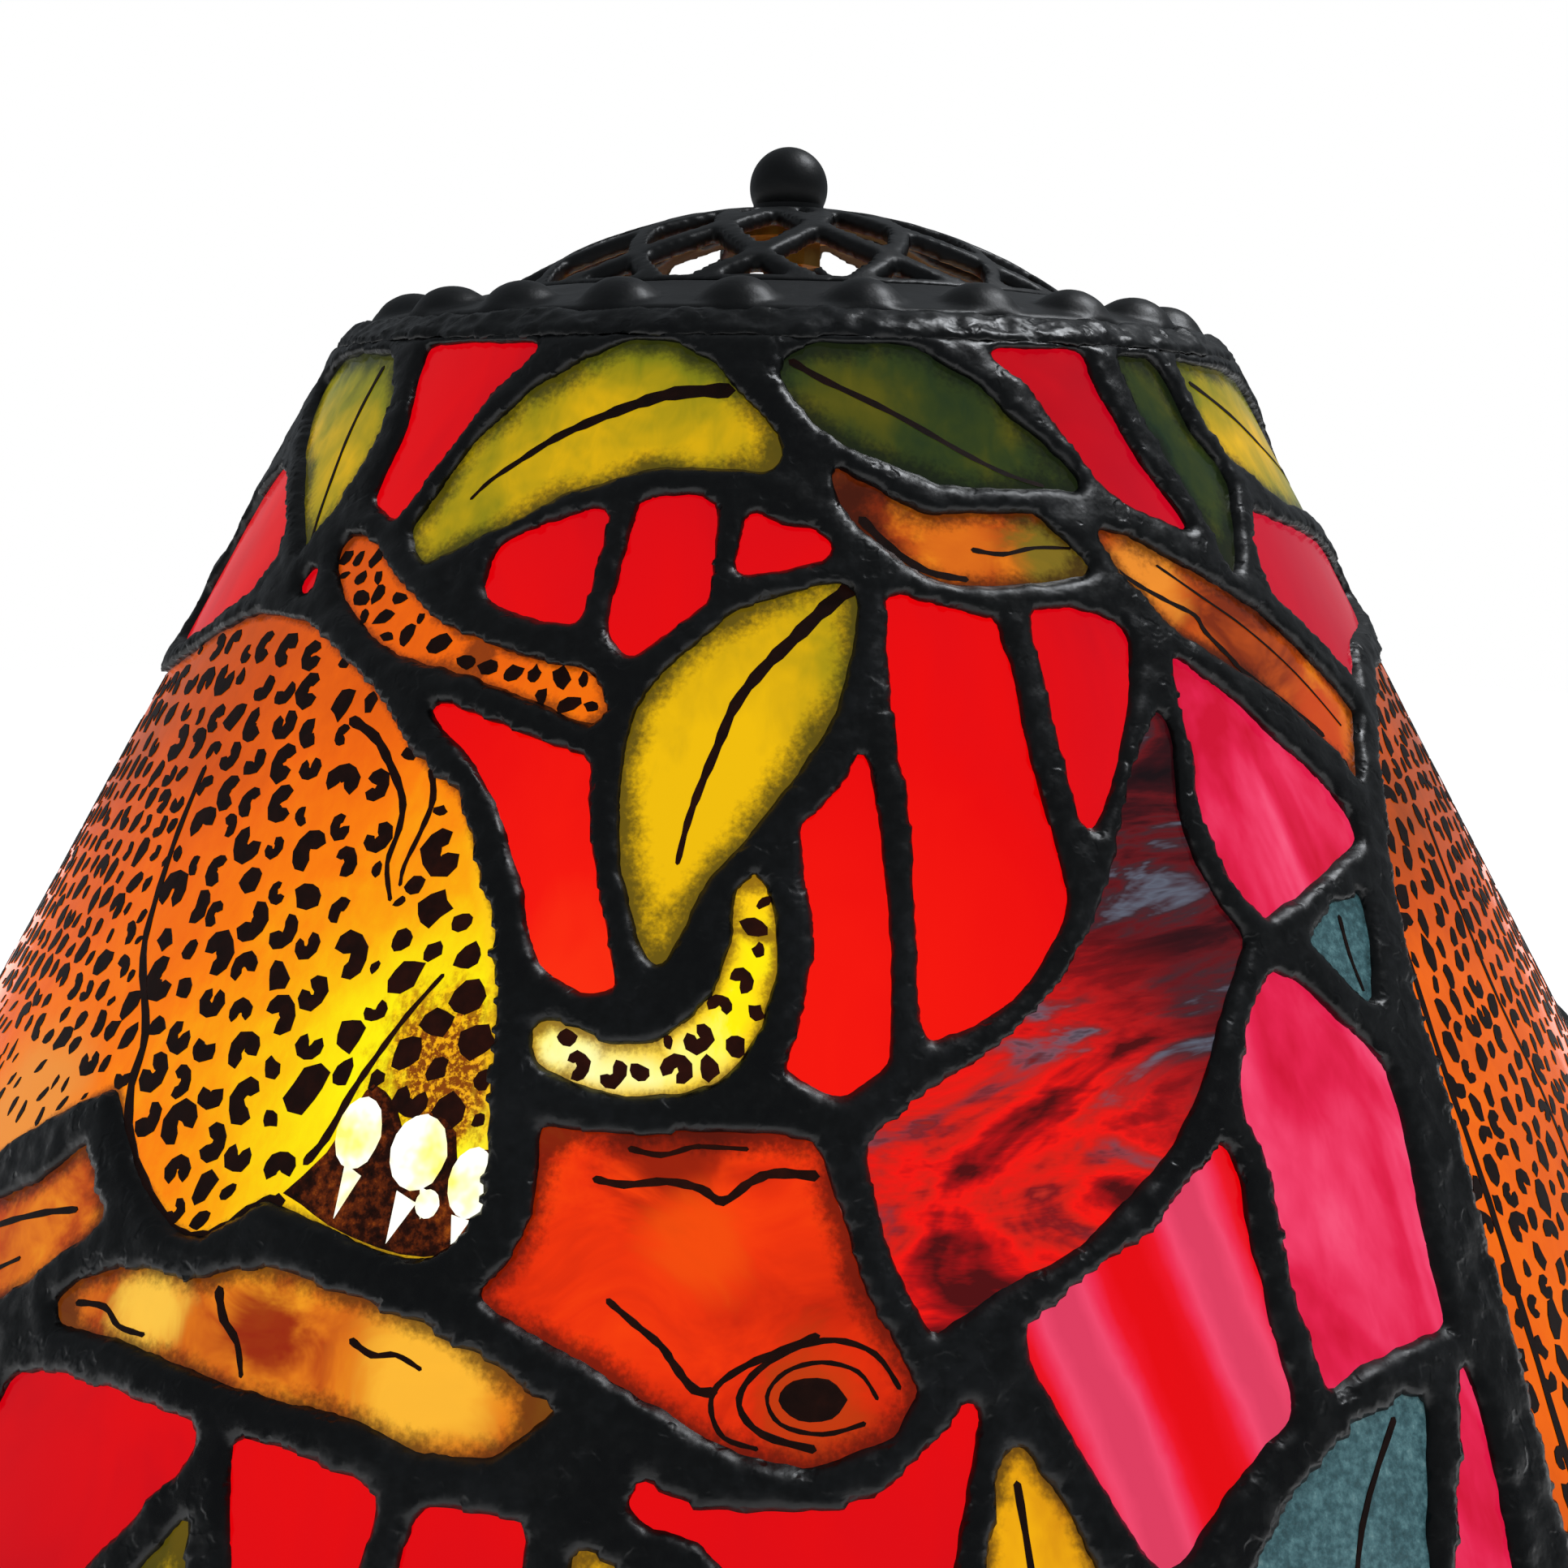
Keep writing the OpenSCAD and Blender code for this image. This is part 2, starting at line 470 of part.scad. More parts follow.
module finial_ball() {
    color("#1c1e20") difference() {
        intersection() {
            translate([0, 0, ball_z]) sphere(d = ball_d, $fn = 96);
            translate([0, 0, finial_seat_z]) cylinder(r = ball_d, h = 2 * ball_d, $fn = 48);
        }
        translate([0, 0, finial_seat_z - 1])
            cylinder(r = rod_r + 0.1, h = rod_top_z - finial_seat_z + 1.4, $fn = 48);
    }
}

// A turned solid with a straight bore through it
module bored_turning(profile, bore) {
    rotate_extrude($fn = 96) polygon(concat([[bore, profile[0][1]]], profile,
        [[bore, profile[len(profile) - 1][1]]]));
}

module felt_pad() {
    color("#20301f") cylinder(r = foot_r - 1.5, h = felt_t, $fn = 144);
}

module foot_casting() {
    back_r = foot_r - 4.5;
    color("#3a2c1c") difference() {
        rotate_extrude($fn = 144) polygon([[pipe_r + rod_gap, hub_z], [12, hub_z],
            [12, 44], [20, 44], [29, 38], [41, 32], [60, 27], [75, 23.5],
            [84, 19], [foot_r - 11, 14.5], [back_r, 11], [back_r, felt_t],
            [foot_r, felt_t], [foot_r, 13], [foot_r - 4, 17.5], [foot_r - 10, 20],
            [foot_r - 13, 23.5], [81, 28.5], [64, 32], [47, 36.5], [35, 42.5], [28, 49],
            [26, foot_top_z], [pipe_r + rod_gap, foot_top_z]]);
        translate([0, foot_r + 5, bushing_z]) rotate([90, 0, 0])
            cylinder(r = bushing_r, h = 30, $fn = 48);
    }
}

module base_weight() {
    color("#454545") translate([0, 0, weight_z]) difference() {
        cylinder(r = 70, h = hub_z - weight_z, $fn = 96);
        translate([0, 0, -1]) cylinder(r = pipe_r + rod_gap, h = 20, $fn = 48);
    }
}

// Insulating bushing where the supply cord goes in at the back of the foot
module cord_bushing() {
    color("#151515") translate([0, foot_r + 1.5, bushing_z]) rotate([90, 0, 0]) difference() {
        union() {
            cylinder(r = bushing_r, h = 18, $fn = 48);
            cylinder(r = bushing_r + 1.5, h = 1.5, $fn = 48);
        }
        translate([0, 0, -1]) cylinder(r = 3, h = 22, $fn = 48);
    }
}

module hex_nut(z, h, across, bore) {
    translate([0, 0, z]) difference() {
        cylinder(r = across / sqrt(3), h = h, $fn = 6);
        translate([0, 0, -1]) cylinder(r = bore, h = h + 2, $fn = 48);
    }
}

module bottom_nut() { color("#b08d4a") hex_nut(nut_z, 4, 14, pipe_r); }

module bottom_washer() {
    color("#8d8d8d") translate([0, 0, nut_z + 4]) difference() {
        cylinder(r = 13, h = weight_z - nut_z - 4, $fn = 64);
        translate([0, 0, -1]) cylinder(r = pipe_r + rod_gap, h = 4, $fn = 48);
    }
}

module column_lower() {
    color("#4a3820") bored_turning([[26, foot_top_z], [27.5, foot_top_z + 3],
        [25, foot_top_z + 7], [21, foot_top_z + 10], [24, foot_top_z + 18],
        [29, foot_top_z + 28], [31, foot_top_z + 40], [28, foot_top_z + 54],
        [21, foot_top_z + 68], [16, foot_top_z + 78], [15, knop_z]], pipe_r + rod_gap);
}

module column_knop() {
    color("#3a2c1c") bored_turning([[18, knop_z], [22, knop_z + 3], [23.5, knop_z + knop_h / 2],
        [22, knop_z + knop_h - 3], [18, knop_z + knop_h]], pipe_r + rod_gap);
}

module column_upper() {
    flute_n = 10;
    flute_r = 2.4;
    low = knop_z + knop_h;
    low_r = 14.5;
    high_r = 11.5;
    taper_h = neck_z - low - 20;
    lean = atan((low_r - high_r) / taper_h);
    color("#4a3820") difference() {
        bored_turning([[17, low], [17, low + 6], [low_r, low + 10], [high_r, neck_z - 10],
            [13.5, neck_z - 6], [13.5, neck_z]], pipe_r + rod_gap);
        for (k = [0 : flute_n - 1])
            turned(k * 360 / flute_n) translate([0, -low_r - flute_r / 2, low + 10])
                rotate([-lean, 0, 0]) translate([0, 0, 8])
                    cylinder(r = flute_r, h = taper_h - 16, $fn = 24);
    }
}

module column_neck() {
    color("#3a2c1c") bored_turning([[13.5, neck_z], [17, neck_z + 3], [16, neck_z + 7],
        [12, neck_z + 12], [14, cluster_bottom_z - 4], [14, cluster_bottom_z]],
        pipe_r + rod_gap);
}

module threaded_pipe() {
    color("#b08d4a") translate([0, 0, nut_z]) difference() {
        cylinder(r = pipe_r, h = pipe_top_z - nut_z, $fn = 64);
        translate([0, 0, -1]) cylinder(r = pipe_r - 1.25, h = pipe_top_z, $fn = 48);
    }
}

// Places what is drawn upright onto the axis of the front (0) or back (1) socket
module on_socket(k) {
    turned(socket_bearing + 180 * k) translate([0, 0, cluster_z])
        rotate([socket_tilt, 0, 0]) children();
}

module cluster_body() {
    color("#4a3820") difference() {
        bored_turning([[14, cluster_bottom_z], [19, cluster_bottom_z + 7],
            [21, cluster_z], [19, cluster_top_z - 7], [14, cluster_top_z]],
            pipe_r + rod_gap);
        for (k = [0, 1]) on_socket(k) translate([0, 0, arm_start])
            cylinder(r = arm_r, h = 30, $fn = 48);
    }
}

module rod_coupling() {
    color("#b08d4a") difference() {
        translate([0, 0, cluster_top_z])
            cylinder(r = 8, h = coupling_top_z - cluster_top_z, $fn = 6);
        translate([0, 0, cluster_top_z - 1])
            cylinder(r = pipe_r, h = pipe_top_z - cluster_top_z + 1, $fn = 64);
        cylinder(r = rod_r, h = coupling_top_z + 5, $fn = 48);
    }
}

module upper_rod() {
    color("#c9a24e") translate([0, 0, pipe_top_z])
        cylinder(r = rod_r, h = rod_top_z - pipe_top_z, $fn = 48);
}

module support_nut() { color("#c9a24e") hex_nut(crown_under_z - 5.5, 4, 9, rod_r); }

module support_washer() {
    color("#c9a24e") translate([0, 0, crown_under_z - 1.5]) difference() {
        cylinder(r = 8.5, h = 1.5, $fn = 64);
        translate([0, 0, -1]) cylinder(r = rod_r, h = 4, $fn = 48);
    }
}

module along_axis(profile, k) on_socket(k) rotate_extrude($fn = 72) polygon(profile);

module socket_arms() {
    color("#b08d4a") for (k = [0, 1])
        along_axis([[2.8, arm_start], [arm_r, arm_start], [arm_r, cap_start + 3],
            [2.8, cap_start + 3]], k);
}

module socket_caps() {
    color("#b08d4a") for (k = [0, 1])
        along_axis([[arm_r, cap_start], [8, cap_start], [13.5, cap_start + 4],
            [shell_r, shell_start - 4], [shell_r, shell_start], [shell_r - 2, shell_start],
            [shell_r - 2, shell_start - 3], [12, cap_start + 5.5], [arm_r, cap_start + 3]], k);
}

module socket_shells() {
    color("#c9a24e") for (k = [0, 1])
        along_axis([[shell_r - shell_t, shell_start], [shell_r, shell_start],
            [shell_r, shell_end - 3], [shell_r + 0.8, shell_end - 2],
            [shell_r, shell_end - 1], [shell_r, shell_end],
            [shell_r - shell_t, shell_end]], k);
}

module socket_liners() {
    color("#c8b48a") for (k = [0, 1])
        along_axis([[shell_r - shell_t - liner_t, shell_start],
            [shell_r - shell_t, shell_start], [shell_r - shell_t, shell_end - 1],
            [shell_r - shell_t - liner_t, shell_end - 1]], k);
}

// Insulating core with the screw shell of the bulb holder
module socket_cores() {
    thread_r = screw_r + bulb_gap;
    color("#e8e2d4") for (k = [0, 1])
        along_axis([[0, shell_start], [shell_r - shell_t - liner_t, shell_start],
            [shell_r - shell_t - liner_t, bulb_cap_start - 4], [thread_r + 1.2, bulb_cap_start - 2],
            [thread_r + 1.2, shell_end - 2], [thread_r, shell_end - 2],
            [thread_r, bulb_cap_start - 0.7], [0, bulb_cap_start - 0.7]], k);
}

// Where a pull chain hangs: distance from the lamp's axis and height of its top
guide_out = guide_reach * sin(socket_tilt) + (shell_r + 3.5) * cos(socket_tilt);
guide_z = cluster_z + guide_reach * cos(socket_tilt) - (shell_r + 3.5) * sin(socket_tilt);
chain_bore_r = bead_chain_r + chain_gap;

module chain_guides() {
    color("#b08d4a") for (k = [0, 1]) difference() {
        union() {
            on_socket(k) translate([0, 0, guide_reach]) rotate([90, 0, 0])
                cylinder(r = 3.4, h = shell_r + 3, $fn = 36);
            turned(socket_bearing + 180 * k) translate([0, -guide_out, guide_z - guide_h + 4])
                cylinder(r = guide_r, h = guide_h, $fn = 48);
        }
        on_socket(k) cylinder(r = shell_r, h = 200, $fn = 72);
        turned(socket_bearing + 180 * k) translate([0, -guide_out, guide_z - guide_h])
            cylinder(r = chain_bore_r, h = guide_h + 1, $fn = 36);
    }
}

// Bead chain with a drop-shaped pull on its end, as one turned outline
module pull_chain(k) {
    bead_count = floor(chain_drop / bead_step);
    top = guide_z;
    low = top - bead_count * bead_step;
    color("#c9a24e") turned(socket_bearing + 180 * k) translate([0, -guide_out, 0]) union() {
        for (i = [0 : bead_count - 1]) translate([0, 0, top - (i + 0.5) * bead_step])
            sphere(r = bead_chain_r, $fn = 24);
        translate([0, 0, low - 1]) cylinder(r = 0.5, h = top - low - 1, $fn = 16);
        translate([0, 0, low]) rotate_extrude($fn = 36)
            polygon([[0, 0], [1.6, 0], [2.2, -3], [2.6, -8], [4.2, -15], [4.4, -18],
                [3.4, -21], [1.6, -22.5], [0, -22.8]]);
    }
}

module chain_front() { pull_chain(0); }
module chain_back() { pull_chain(1); }

module bulb_globe(k) {
    neck_r = 11.5;
    wall = 0.8;
    cap_end = shell_end - 1.5;
    join = globe_mid - globe_r * 0.86;
    color("#fff4dc") on_socket(k) difference() {
        union() {
            translate([0, 0, globe_mid]) sphere(r = globe_r, $fn = 72);
            translate([0, 0, cap_end]) cylinder(r = neck_r, h = join - cap_end, $fn = 72);
        }
        translate([0, 0, globe_mid]) sphere(r = globe_r - wall, $fn = 72);
        translate([0, 0, cap_end - 1]) cylinder(r = neck_r - wall, h = join - cap_end + 2, $fn = 72);
    }
}

module bulb_cap(k) {
    thread_n = 6;
    pitch = 3.6;
    low = bulb_cap_start + 2;
    end = shell_end - 1.5;
    ridges = [for (i = [0 : thread_n - 1], s = [[0, -0.7], [0.25, 0], [0.75, 0], [1, -0.7]])
        [screw_r + s[1], low + (i + s[0]) * pitch * 0.98]];
    color("#c0c0c0") on_socket(k) rotate_extrude($fn = 72) polygon(concat(
        [[0, bulb_cap_start - 0.6], [4.5, bulb_cap_start - 0.6], [6, bulb_cap_start + 0.6],
            [11, bulb_cap_start + 1.4]],
        ridges, [[screw_r - 0.7, end], [0, end]]));
}

module bulb_filament(k) {
    post_h = globe_mid - shell_end;
    color("#ffd27a") on_socket(k) translate([0, 0, shell_end - 1.5]) union() {
        for (side = [-1, 1]) translate([side * 5, 0, 0]) cylinder(r = 0.5, h = post_h, $fn = 16);
        translate([-5, 0, post_h - 0.5]) rotate([0, 90, 0]) cylinder(r = 0.9, h = 10, $fn = 16);
        cylinder(r = 3, h = post_h * 0.5, $fn = 24);
    }
}

module bulb_globe_front() { bulb_globe(0); }
module bulb_globe_back() { bulb_globe(1); }
module bulb_cap_front() { bulb_cap(0); }
module bulb_cap_back() { bulb_cap(1); }
module bulb_filament_front() { bulb_filament(0); }
module bulb_filament_back() { bulb_filament(1); }

// Wire from the bushing to the middle and up inside the pipe
module inner_wire() {
    low_z = 3;
    turn_y = foot_r - 26;
    start_y = foot_r - 18;
    fall = bushing_z - low_z;
    elbow_r = wire_r + 0.1;
    color("#c8b48a") union() {
        translate([0, start_y, bushing_z]) rotate([90 + atan(fall / (start_y - turn_y)), 0, 0])
            cylinder(r = wire_r, h = norm([fall, start_y - turn_y]), $fn = 24);
        translate([0, turn_y, low_z]) sphere(r = elbow_r, $fn = 24);
        translate([0, turn_y, low_z]) rotate([90, 0, 0]) cylinder(r = wire_r, h = turn_y, $fn = 24);
        translate([0, 0, low_z]) sphere(r = elbow_r, $fn = 24);
        translate([0, 0, low_z]) cylinder(r = wire_r, h = cluster_z - low_z, $fn = 24);
    }
}

felt_pad();
foot_casting();
base_weight();
cord_bushing();
bottom_nut();
bottom_washer();
column_lower();
column_knop();
column_upper();
column_neck();
threaded_pipe();
cluster_body();
rod_coupling();
upper_rod();
support_nut();
support_washer();
socket_arms();
socket_caps();
socket_shells();
socket_liners();
socket_cores();
chain_guides();
inner_wire();
solder_web_a();
solder_web_b();
glass_red();
glass_pink();
glass_striped();
glass_streaky();
glass_green_leaf();
glass_dark_leaf();
glass_teal_leaf();
glass_yellow_leaf();
glass_branch();
glass_log();
glass_leopard();
glass_tail();
glass_skirt_red();
glass_skirt_leaf();
glass_border_upper();
glass_border_lower();
top_ring();
bottom_rim();
bead_flange();
cap_lattice();
finial_washer();
finial_ball();
bulb_globe_front();
bulb_cap_front();
bulb_filament_front();
bulb_globe_back();
bulb_cap_back();
bulb_filament_back();
chain_front();
chain_back();
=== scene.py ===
import json
import math
import random

import bpy
import bmesh
import numpy as np
from mathutils import Matrix, Vector, geometry, noise

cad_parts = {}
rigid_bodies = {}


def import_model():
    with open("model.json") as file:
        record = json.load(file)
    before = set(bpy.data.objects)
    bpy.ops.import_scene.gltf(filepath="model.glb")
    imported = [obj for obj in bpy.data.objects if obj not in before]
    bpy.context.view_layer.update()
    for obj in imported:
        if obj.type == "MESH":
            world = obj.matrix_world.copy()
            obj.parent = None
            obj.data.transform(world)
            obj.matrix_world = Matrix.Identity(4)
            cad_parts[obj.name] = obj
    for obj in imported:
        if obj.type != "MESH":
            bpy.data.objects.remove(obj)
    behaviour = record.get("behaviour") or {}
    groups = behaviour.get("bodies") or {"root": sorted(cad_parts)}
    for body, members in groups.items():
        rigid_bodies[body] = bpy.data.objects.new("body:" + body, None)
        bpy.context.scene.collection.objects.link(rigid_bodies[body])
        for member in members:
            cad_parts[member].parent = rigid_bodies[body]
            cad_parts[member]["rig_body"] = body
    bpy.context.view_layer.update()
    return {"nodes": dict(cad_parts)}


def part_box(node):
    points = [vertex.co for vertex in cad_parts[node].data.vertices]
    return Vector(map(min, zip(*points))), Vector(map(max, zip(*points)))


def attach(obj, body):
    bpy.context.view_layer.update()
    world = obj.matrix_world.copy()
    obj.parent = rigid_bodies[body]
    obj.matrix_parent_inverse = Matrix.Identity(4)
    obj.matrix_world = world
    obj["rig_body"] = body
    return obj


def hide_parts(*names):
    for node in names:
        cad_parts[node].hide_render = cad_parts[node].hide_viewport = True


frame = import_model()
nodes = frame["nodes"]
mm = 0.001
print("frame loaded")

# Camera

view = {
    "lens": 38.43,
    "back": 0.2807,
    "below": 0.01247,
    "pitch": 11.58,
    "yaw": 0.13,
    "roll": 0.84,
}
ringLow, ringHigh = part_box("top_ring")
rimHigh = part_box("bottom_rim")[1]


def turnedCamera():
    camera = bpy.data.objects.new("camera", bpy.data.cameras.new("camera"))
    camera.data.lens = view["lens"]
    camera.data.clip_start = 0.01
    turn = Matrix.Rotation(math.radians(-view["yaw"]), 4, "Z")
    turn = turn @ Matrix.Rotation(math.radians(90 - view["pitch"]), 4, "X")
    turn = turn @ Matrix.Rotation(math.radians(view["roll"]), 4, "Z")
    place = Matrix.Translation((0, -view["back"], ringLow.z - view["below"]))
    camera.matrix_world = place @ turn
    bpy.context.scene.collection.objects.link(camera)
    bpy.context.scene.camera = camera


turnedCamera()
bpy.context.scene.view_settings.view_transform = "Standard"


# Node trees, written as sums

def hexColour(text):
    parts = [int(text[i:i + 2], 16) / 255 for i in (1, 3, 5)]
    return [p / 12.92 if p <= 0.04045 else ((p + 0.055) / 1.055) ** 2.4 for p in parts] + [1.0]


class Flow:
    def __init__(self, recipe, socket):
        self.recipe = recipe
        self.socket = socket

    def math(self, operation, *others):
        made = self.recipe.node("ShaderNodeMath", {"operation": operation}, dict(enumerate([self, *others])))
        return Flow(self.recipe, made.outputs[0])

    def __add__(self, other):
        return self.math("ADD", other)

    def __sub__(self, other):
        return self.math("SUBTRACT", other)

    def __rsub__(self, other):
        return (self * -1) + other

    def __mul__(self, other):
        return self.math("MULTIPLY", other)

    def __truediv__(self, other):
        return self.math("DIVIDE", other)

    def __pow__(self, other):
        return self.math("POWER", other)


class Recipe:
    def __init__(self, name):
        self.material = bpy.data.materials.new(name)
        self.material.use_nodes = True
        self.tree = self.material.node_tree
        self.tree.nodes.clear()
        self.shader = self.node("ShaderNodeBsdfPrincipled")
        self.node("ShaderNodeOutputMaterial", sockets={"Surface": self.shader.outputs[0]})

    def node(self, kind, settings=None, sockets=None):
        made = self.tree.nodes.new(kind)
        for key, value in (settings or {}).items():
            if key == "stops":
                ramp = made.color_ramp
                while len(ramp.elements) < len(value):
                    ramp.elements.new(0.5)
                for element, (place, colour) in zip(ramp.elements, value):
                    element.position = place
                    element.color = hexColour(colour)
            else:
                setattr(made, key, value)
        for key, value in (sockets or {}).items():
            self.feed(made.inputs[key], value)
        return made

    def feed(self, socket, value):
        if isinstance(value, Flow):
            value = value.socket
        if isinstance(value, bpy.types.NodeSocket):
            self.tree.links.new(value, socket)
        else:
            socket.default_value = value

    def set(self, **values):
        for key, value in values.items():
            self.feed(self.shader.inputs[key.replace("_", " ")], value)
        return self

    def place(self):
        return Flow(self, self.node("ShaderNodeTexCoord").outputs["Object"])

    def axes(self):
        parts = self.node("ShaderNodeSeparateXYZ", sockets={0: self.place()}).outputs
        return [Flow(self, part) for part in parts]

    def stretched(self, scale, turn=(0, 0, 0)):
        made = self.node("ShaderNodeMapping", sockets={
            "Vector": self.place(), "Scale": scale, "Rotation": [math.radians(a) for a in turn]})
        return Flow(self, made.outputs[0])

    def noise(self, scale, detail=3.0, rough=0.5, bend=0.0, at=None):
        made = self.node("ShaderNodeTexNoise", sockets={
            "Vector": at or self.place(), "Scale": scale, "Detail": detail,
            "Roughness": rough, "Distortion": bend})
        return Flow(self, made.outputs["Fac"])

    def own(self, name):
        return Flow(self, self.node("ShaderNodeAttribute", {"attribute_name": name}).outputs["Fac"])

    def step(self, value, low, high):
        made = self.node("ShaderNodeMapRange", {"interpolation_type": "SMOOTHSTEP"}, {
            "Value": value, "From Min": low, "From Max": high})
        return Flow(self, made.outputs[0])

    def ramp(self, value, stops):
        made = self.node("ShaderNodeValToRGB", {"stops": stops}, {"Fac": value})
        return Flow(self, made.outputs["Color"])

    def mix(self, amount, first, second, blend="MIX"):
        made = self.node("ShaderNodeMix", {"data_type": "RGBA", "blend_type": blend}, {
            0: amount,
            6: hexColour(first) if isinstance(first, str) else first,
            7: hexColour(second) if isinstance(second, str) else second})
        return Flow(self, made.outputs[2])

    def shade(self, colour, amount):
        grey = self.node("ShaderNodeCombineColor", sockets={0: amount, 1: amount, 2: amount})
        return self.mix(1.0, colour, Flow(self, grey.outputs[0]), "MULTIPLY")

    def away(self, point):
        made = self.node("ShaderNodeVectorMath", {"operation": "DISTANCE"}, {
            0: self.place(), 1: point})
        return Flow(self, made.outputs["Value"])

    def relief(self, height, strength, depth):
        made = self.node("ShaderNodeBump", sockets={
            "Height": height, "Strength": strength, "Distance": depth})
        self.feed(self.shader.inputs["Normal"], made.outputs[0])
        return self


def coat(piece, recipe):
    piece.data.materials.clear()
    piece.data.materials.append(recipe.material)


# The shade's cone, and the flat sheet that it rolls out to

shade = {
    "topZ": ringLow.z,
    "topRadius": ringHigh.x - 0.8 * mm,
    "bottomZ": rimHigh.z,
    "bottomRadius": rimHigh.x - 1.6 * mm,
    "glassSkin": 0.4 * mm,
    "glassThick": 3.2 * mm,
}
slope = (shade["bottomRadius"] - shade["topRadius"]) / (shade["topZ"] - shade["bottomZ"])
sinHalf = math.sin(math.atan(slope))


def coneRadius(drop):
    return shade["topRadius"] + slope * drop


def rollOut(bearing, drop):
    reach = coneRadius(drop) / sinHalf
    angle = math.radians(bearing) * sinHalf
    return reach * math.sin(angle), -reach * math.cos(angle)


def rollUp(x, y):
    reach = math.hypot(x, y)
    bearing = math.degrees(math.atan2(x, -y) / sinHalf)
    return bearing, (reach * sinHalf - shade["topRadius"]) / slope


def glassRipple(point):
    slow = noise.noise(point * 60) * 0.16
    fast = noise.noise(point * 190 + Vector((3, 1, 7))) * 0.05
    return (slow + fast) * mm


def onShade(bearing, drop, lift=0.0):
    angle = math.radians(bearing)
    radius = coneRadius(drop) + lift
    point = Vector((radius * math.sin(angle), -radius * math.cos(angle), shade["topZ"] - drop))
    radius += glassRipple(point)
    return Vector((radius * math.sin(angle), -radius * math.cos(angle), point.z))


def meshPiece(name, points, faces, body, smooth=True):
    mesh = bpy.data.meshes.new(name)
    mesh.from_pydata(points, [], faces)
    mesh.update()
    for polygon in mesh.polygons:
        polygon.use_smooth = smooth
    piece = bpy.data.objects.new(name, mesh)
    bpy.context.scene.collection.objects.link(piece)
    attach(piece, body)
    return piece


# Glass panes: each CAD pane's outline, filled with fine triangles

panes = {"spacing": 3.0 * mm, "edgeStep": 2.0 * mm}
paneSheets = {}


def outlineOf(part):
    faces = []
    for face in part:
        onSkin = all(abs(math.hypot(v.co.x, v.co.y) + shade["glassSkin"]
                         - coneRadius(shade["topZ"] - v.co.z)) < 0.15 * mm for v in face.verts)
        if onSkin:
            faces.append(face)
    inside = set(faces)
    follow = {}
    for face in faces:
        for loop in face.loops:
            others = [f for f in loop.edge.link_faces if f is not face and f in inside]
            if not others:
                follow[loop.vert] = loop.link_loop_next.vert
    start = next(iter(follow))
    ring = [start.co.copy()]
    here = follow[start]
    while here is not start:
        ring.append(here.co.copy())
        here = follow[here]
    return ring


def looseParts(node):
    work = bmesh.new()
    work.from_mesh(nodes[node].data)
    bmesh.ops.remove_doubles(work, verts=work.verts, dist=2e-6)
    left = set(work.faces)
    parts = []
    for first in work.faces:
        if first not in left:
            continue
        left.remove(first)
        queue = [first]
        part = []
        while queue:
            face = queue.pop()
            part.append(face)
            for edge in face.edges:
                for other in edge.link_faces:
                    if other in left:
                        left.remove(other)
                        queue.append(other)
        parts.append(part)
    return work, parts


def edgeDistance(points, ring):
    a = np.array(ring)
    b = np.roll(a, -1, axis=0)
    run = b - a
    length = np.maximum((run ** 2).sum(1), 1e-14)
    out = np.full(len(points), 1.0)
    for i, p in enumerate(np.array(points)):
        t = np.clip(((p - a) * run).sum(1) / length, 0, 1)
        out[i] = np.sqrt((((a + run * t[:, None]) - p) ** 2).sum(1).min())
    return out


def filledOutline(ring, spacing):
    line = []
    for i, (x, y) in enumerate(ring):
        nextX, nextY = ring[(i + 1) % len(ring)]
        if line and math.hypot(x - line[-1][0], y - line[-1][1]) < 0.25 * mm:
            continue
        steps = max(1, round(math.hypot(nextX - x, nextY - y) / panes["edgeStep"]))
        for k in range(steps):
            line.append((x + (nextX - x) * k / steps, y + (nextY - y) * k / steps))
    low = np.min(line, axis=0)
    high = np.max(line, axis=0)
    inner = []
    rows = int((high[1] - low[1]) / (spacing * 0.87)) + 1
    columns = int((high[0] - low[0]) / spacing) + 1
    for row in range(rows):
        for column in range(columns):
            inner.append((low[0] + (column + 0.5 * (row % 2)) * spacing,
                          low[1] + row * spacing * 0.87))
    if inner:
        gap = edgeDistance(inner, line)
        inner = [p for p, g in zip(inner, gap) if g > spacing * 0.55]
    points = [Vector(p) for p in line + inner]
    edges = [(i, (i + 1) % len(line)) for i in range(len(line))]
    made = geometry.delaunay_2d_cdt(points, edges, [], 1, 1e-8)
    return [(p.x, p.y) for p in made[0]], [tuple(f) for f in made[2]], line


def sheetFaces(cloud, triangles, first):
    count = len(cloud)
    faces, border = [], {}
    for a, b, c in triangles:
        pa, pb, pc = (cloud[i] for i in (a, b, c))
        if (pb[0] - pa[0]) * (pc[1] - pa[1]) - (pb[1] - pa[1]) * (pc[0] - pa[0]) < 0:
            b, c = c, b
        faces.append((first + a, first + b, first + c))
        faces.append((first + count + a, first + count + c, first + count + b))
        for edge in ((a, b), (b, c), (c, a)):
            if (edge[1], edge[0]) in border:
                del border[(edge[1], edge[0])]
            else:
                border[edge] = True
    for a, b in border:
        faces.append((first + b, first + a, first + count + a, first + count + b))
    return faces


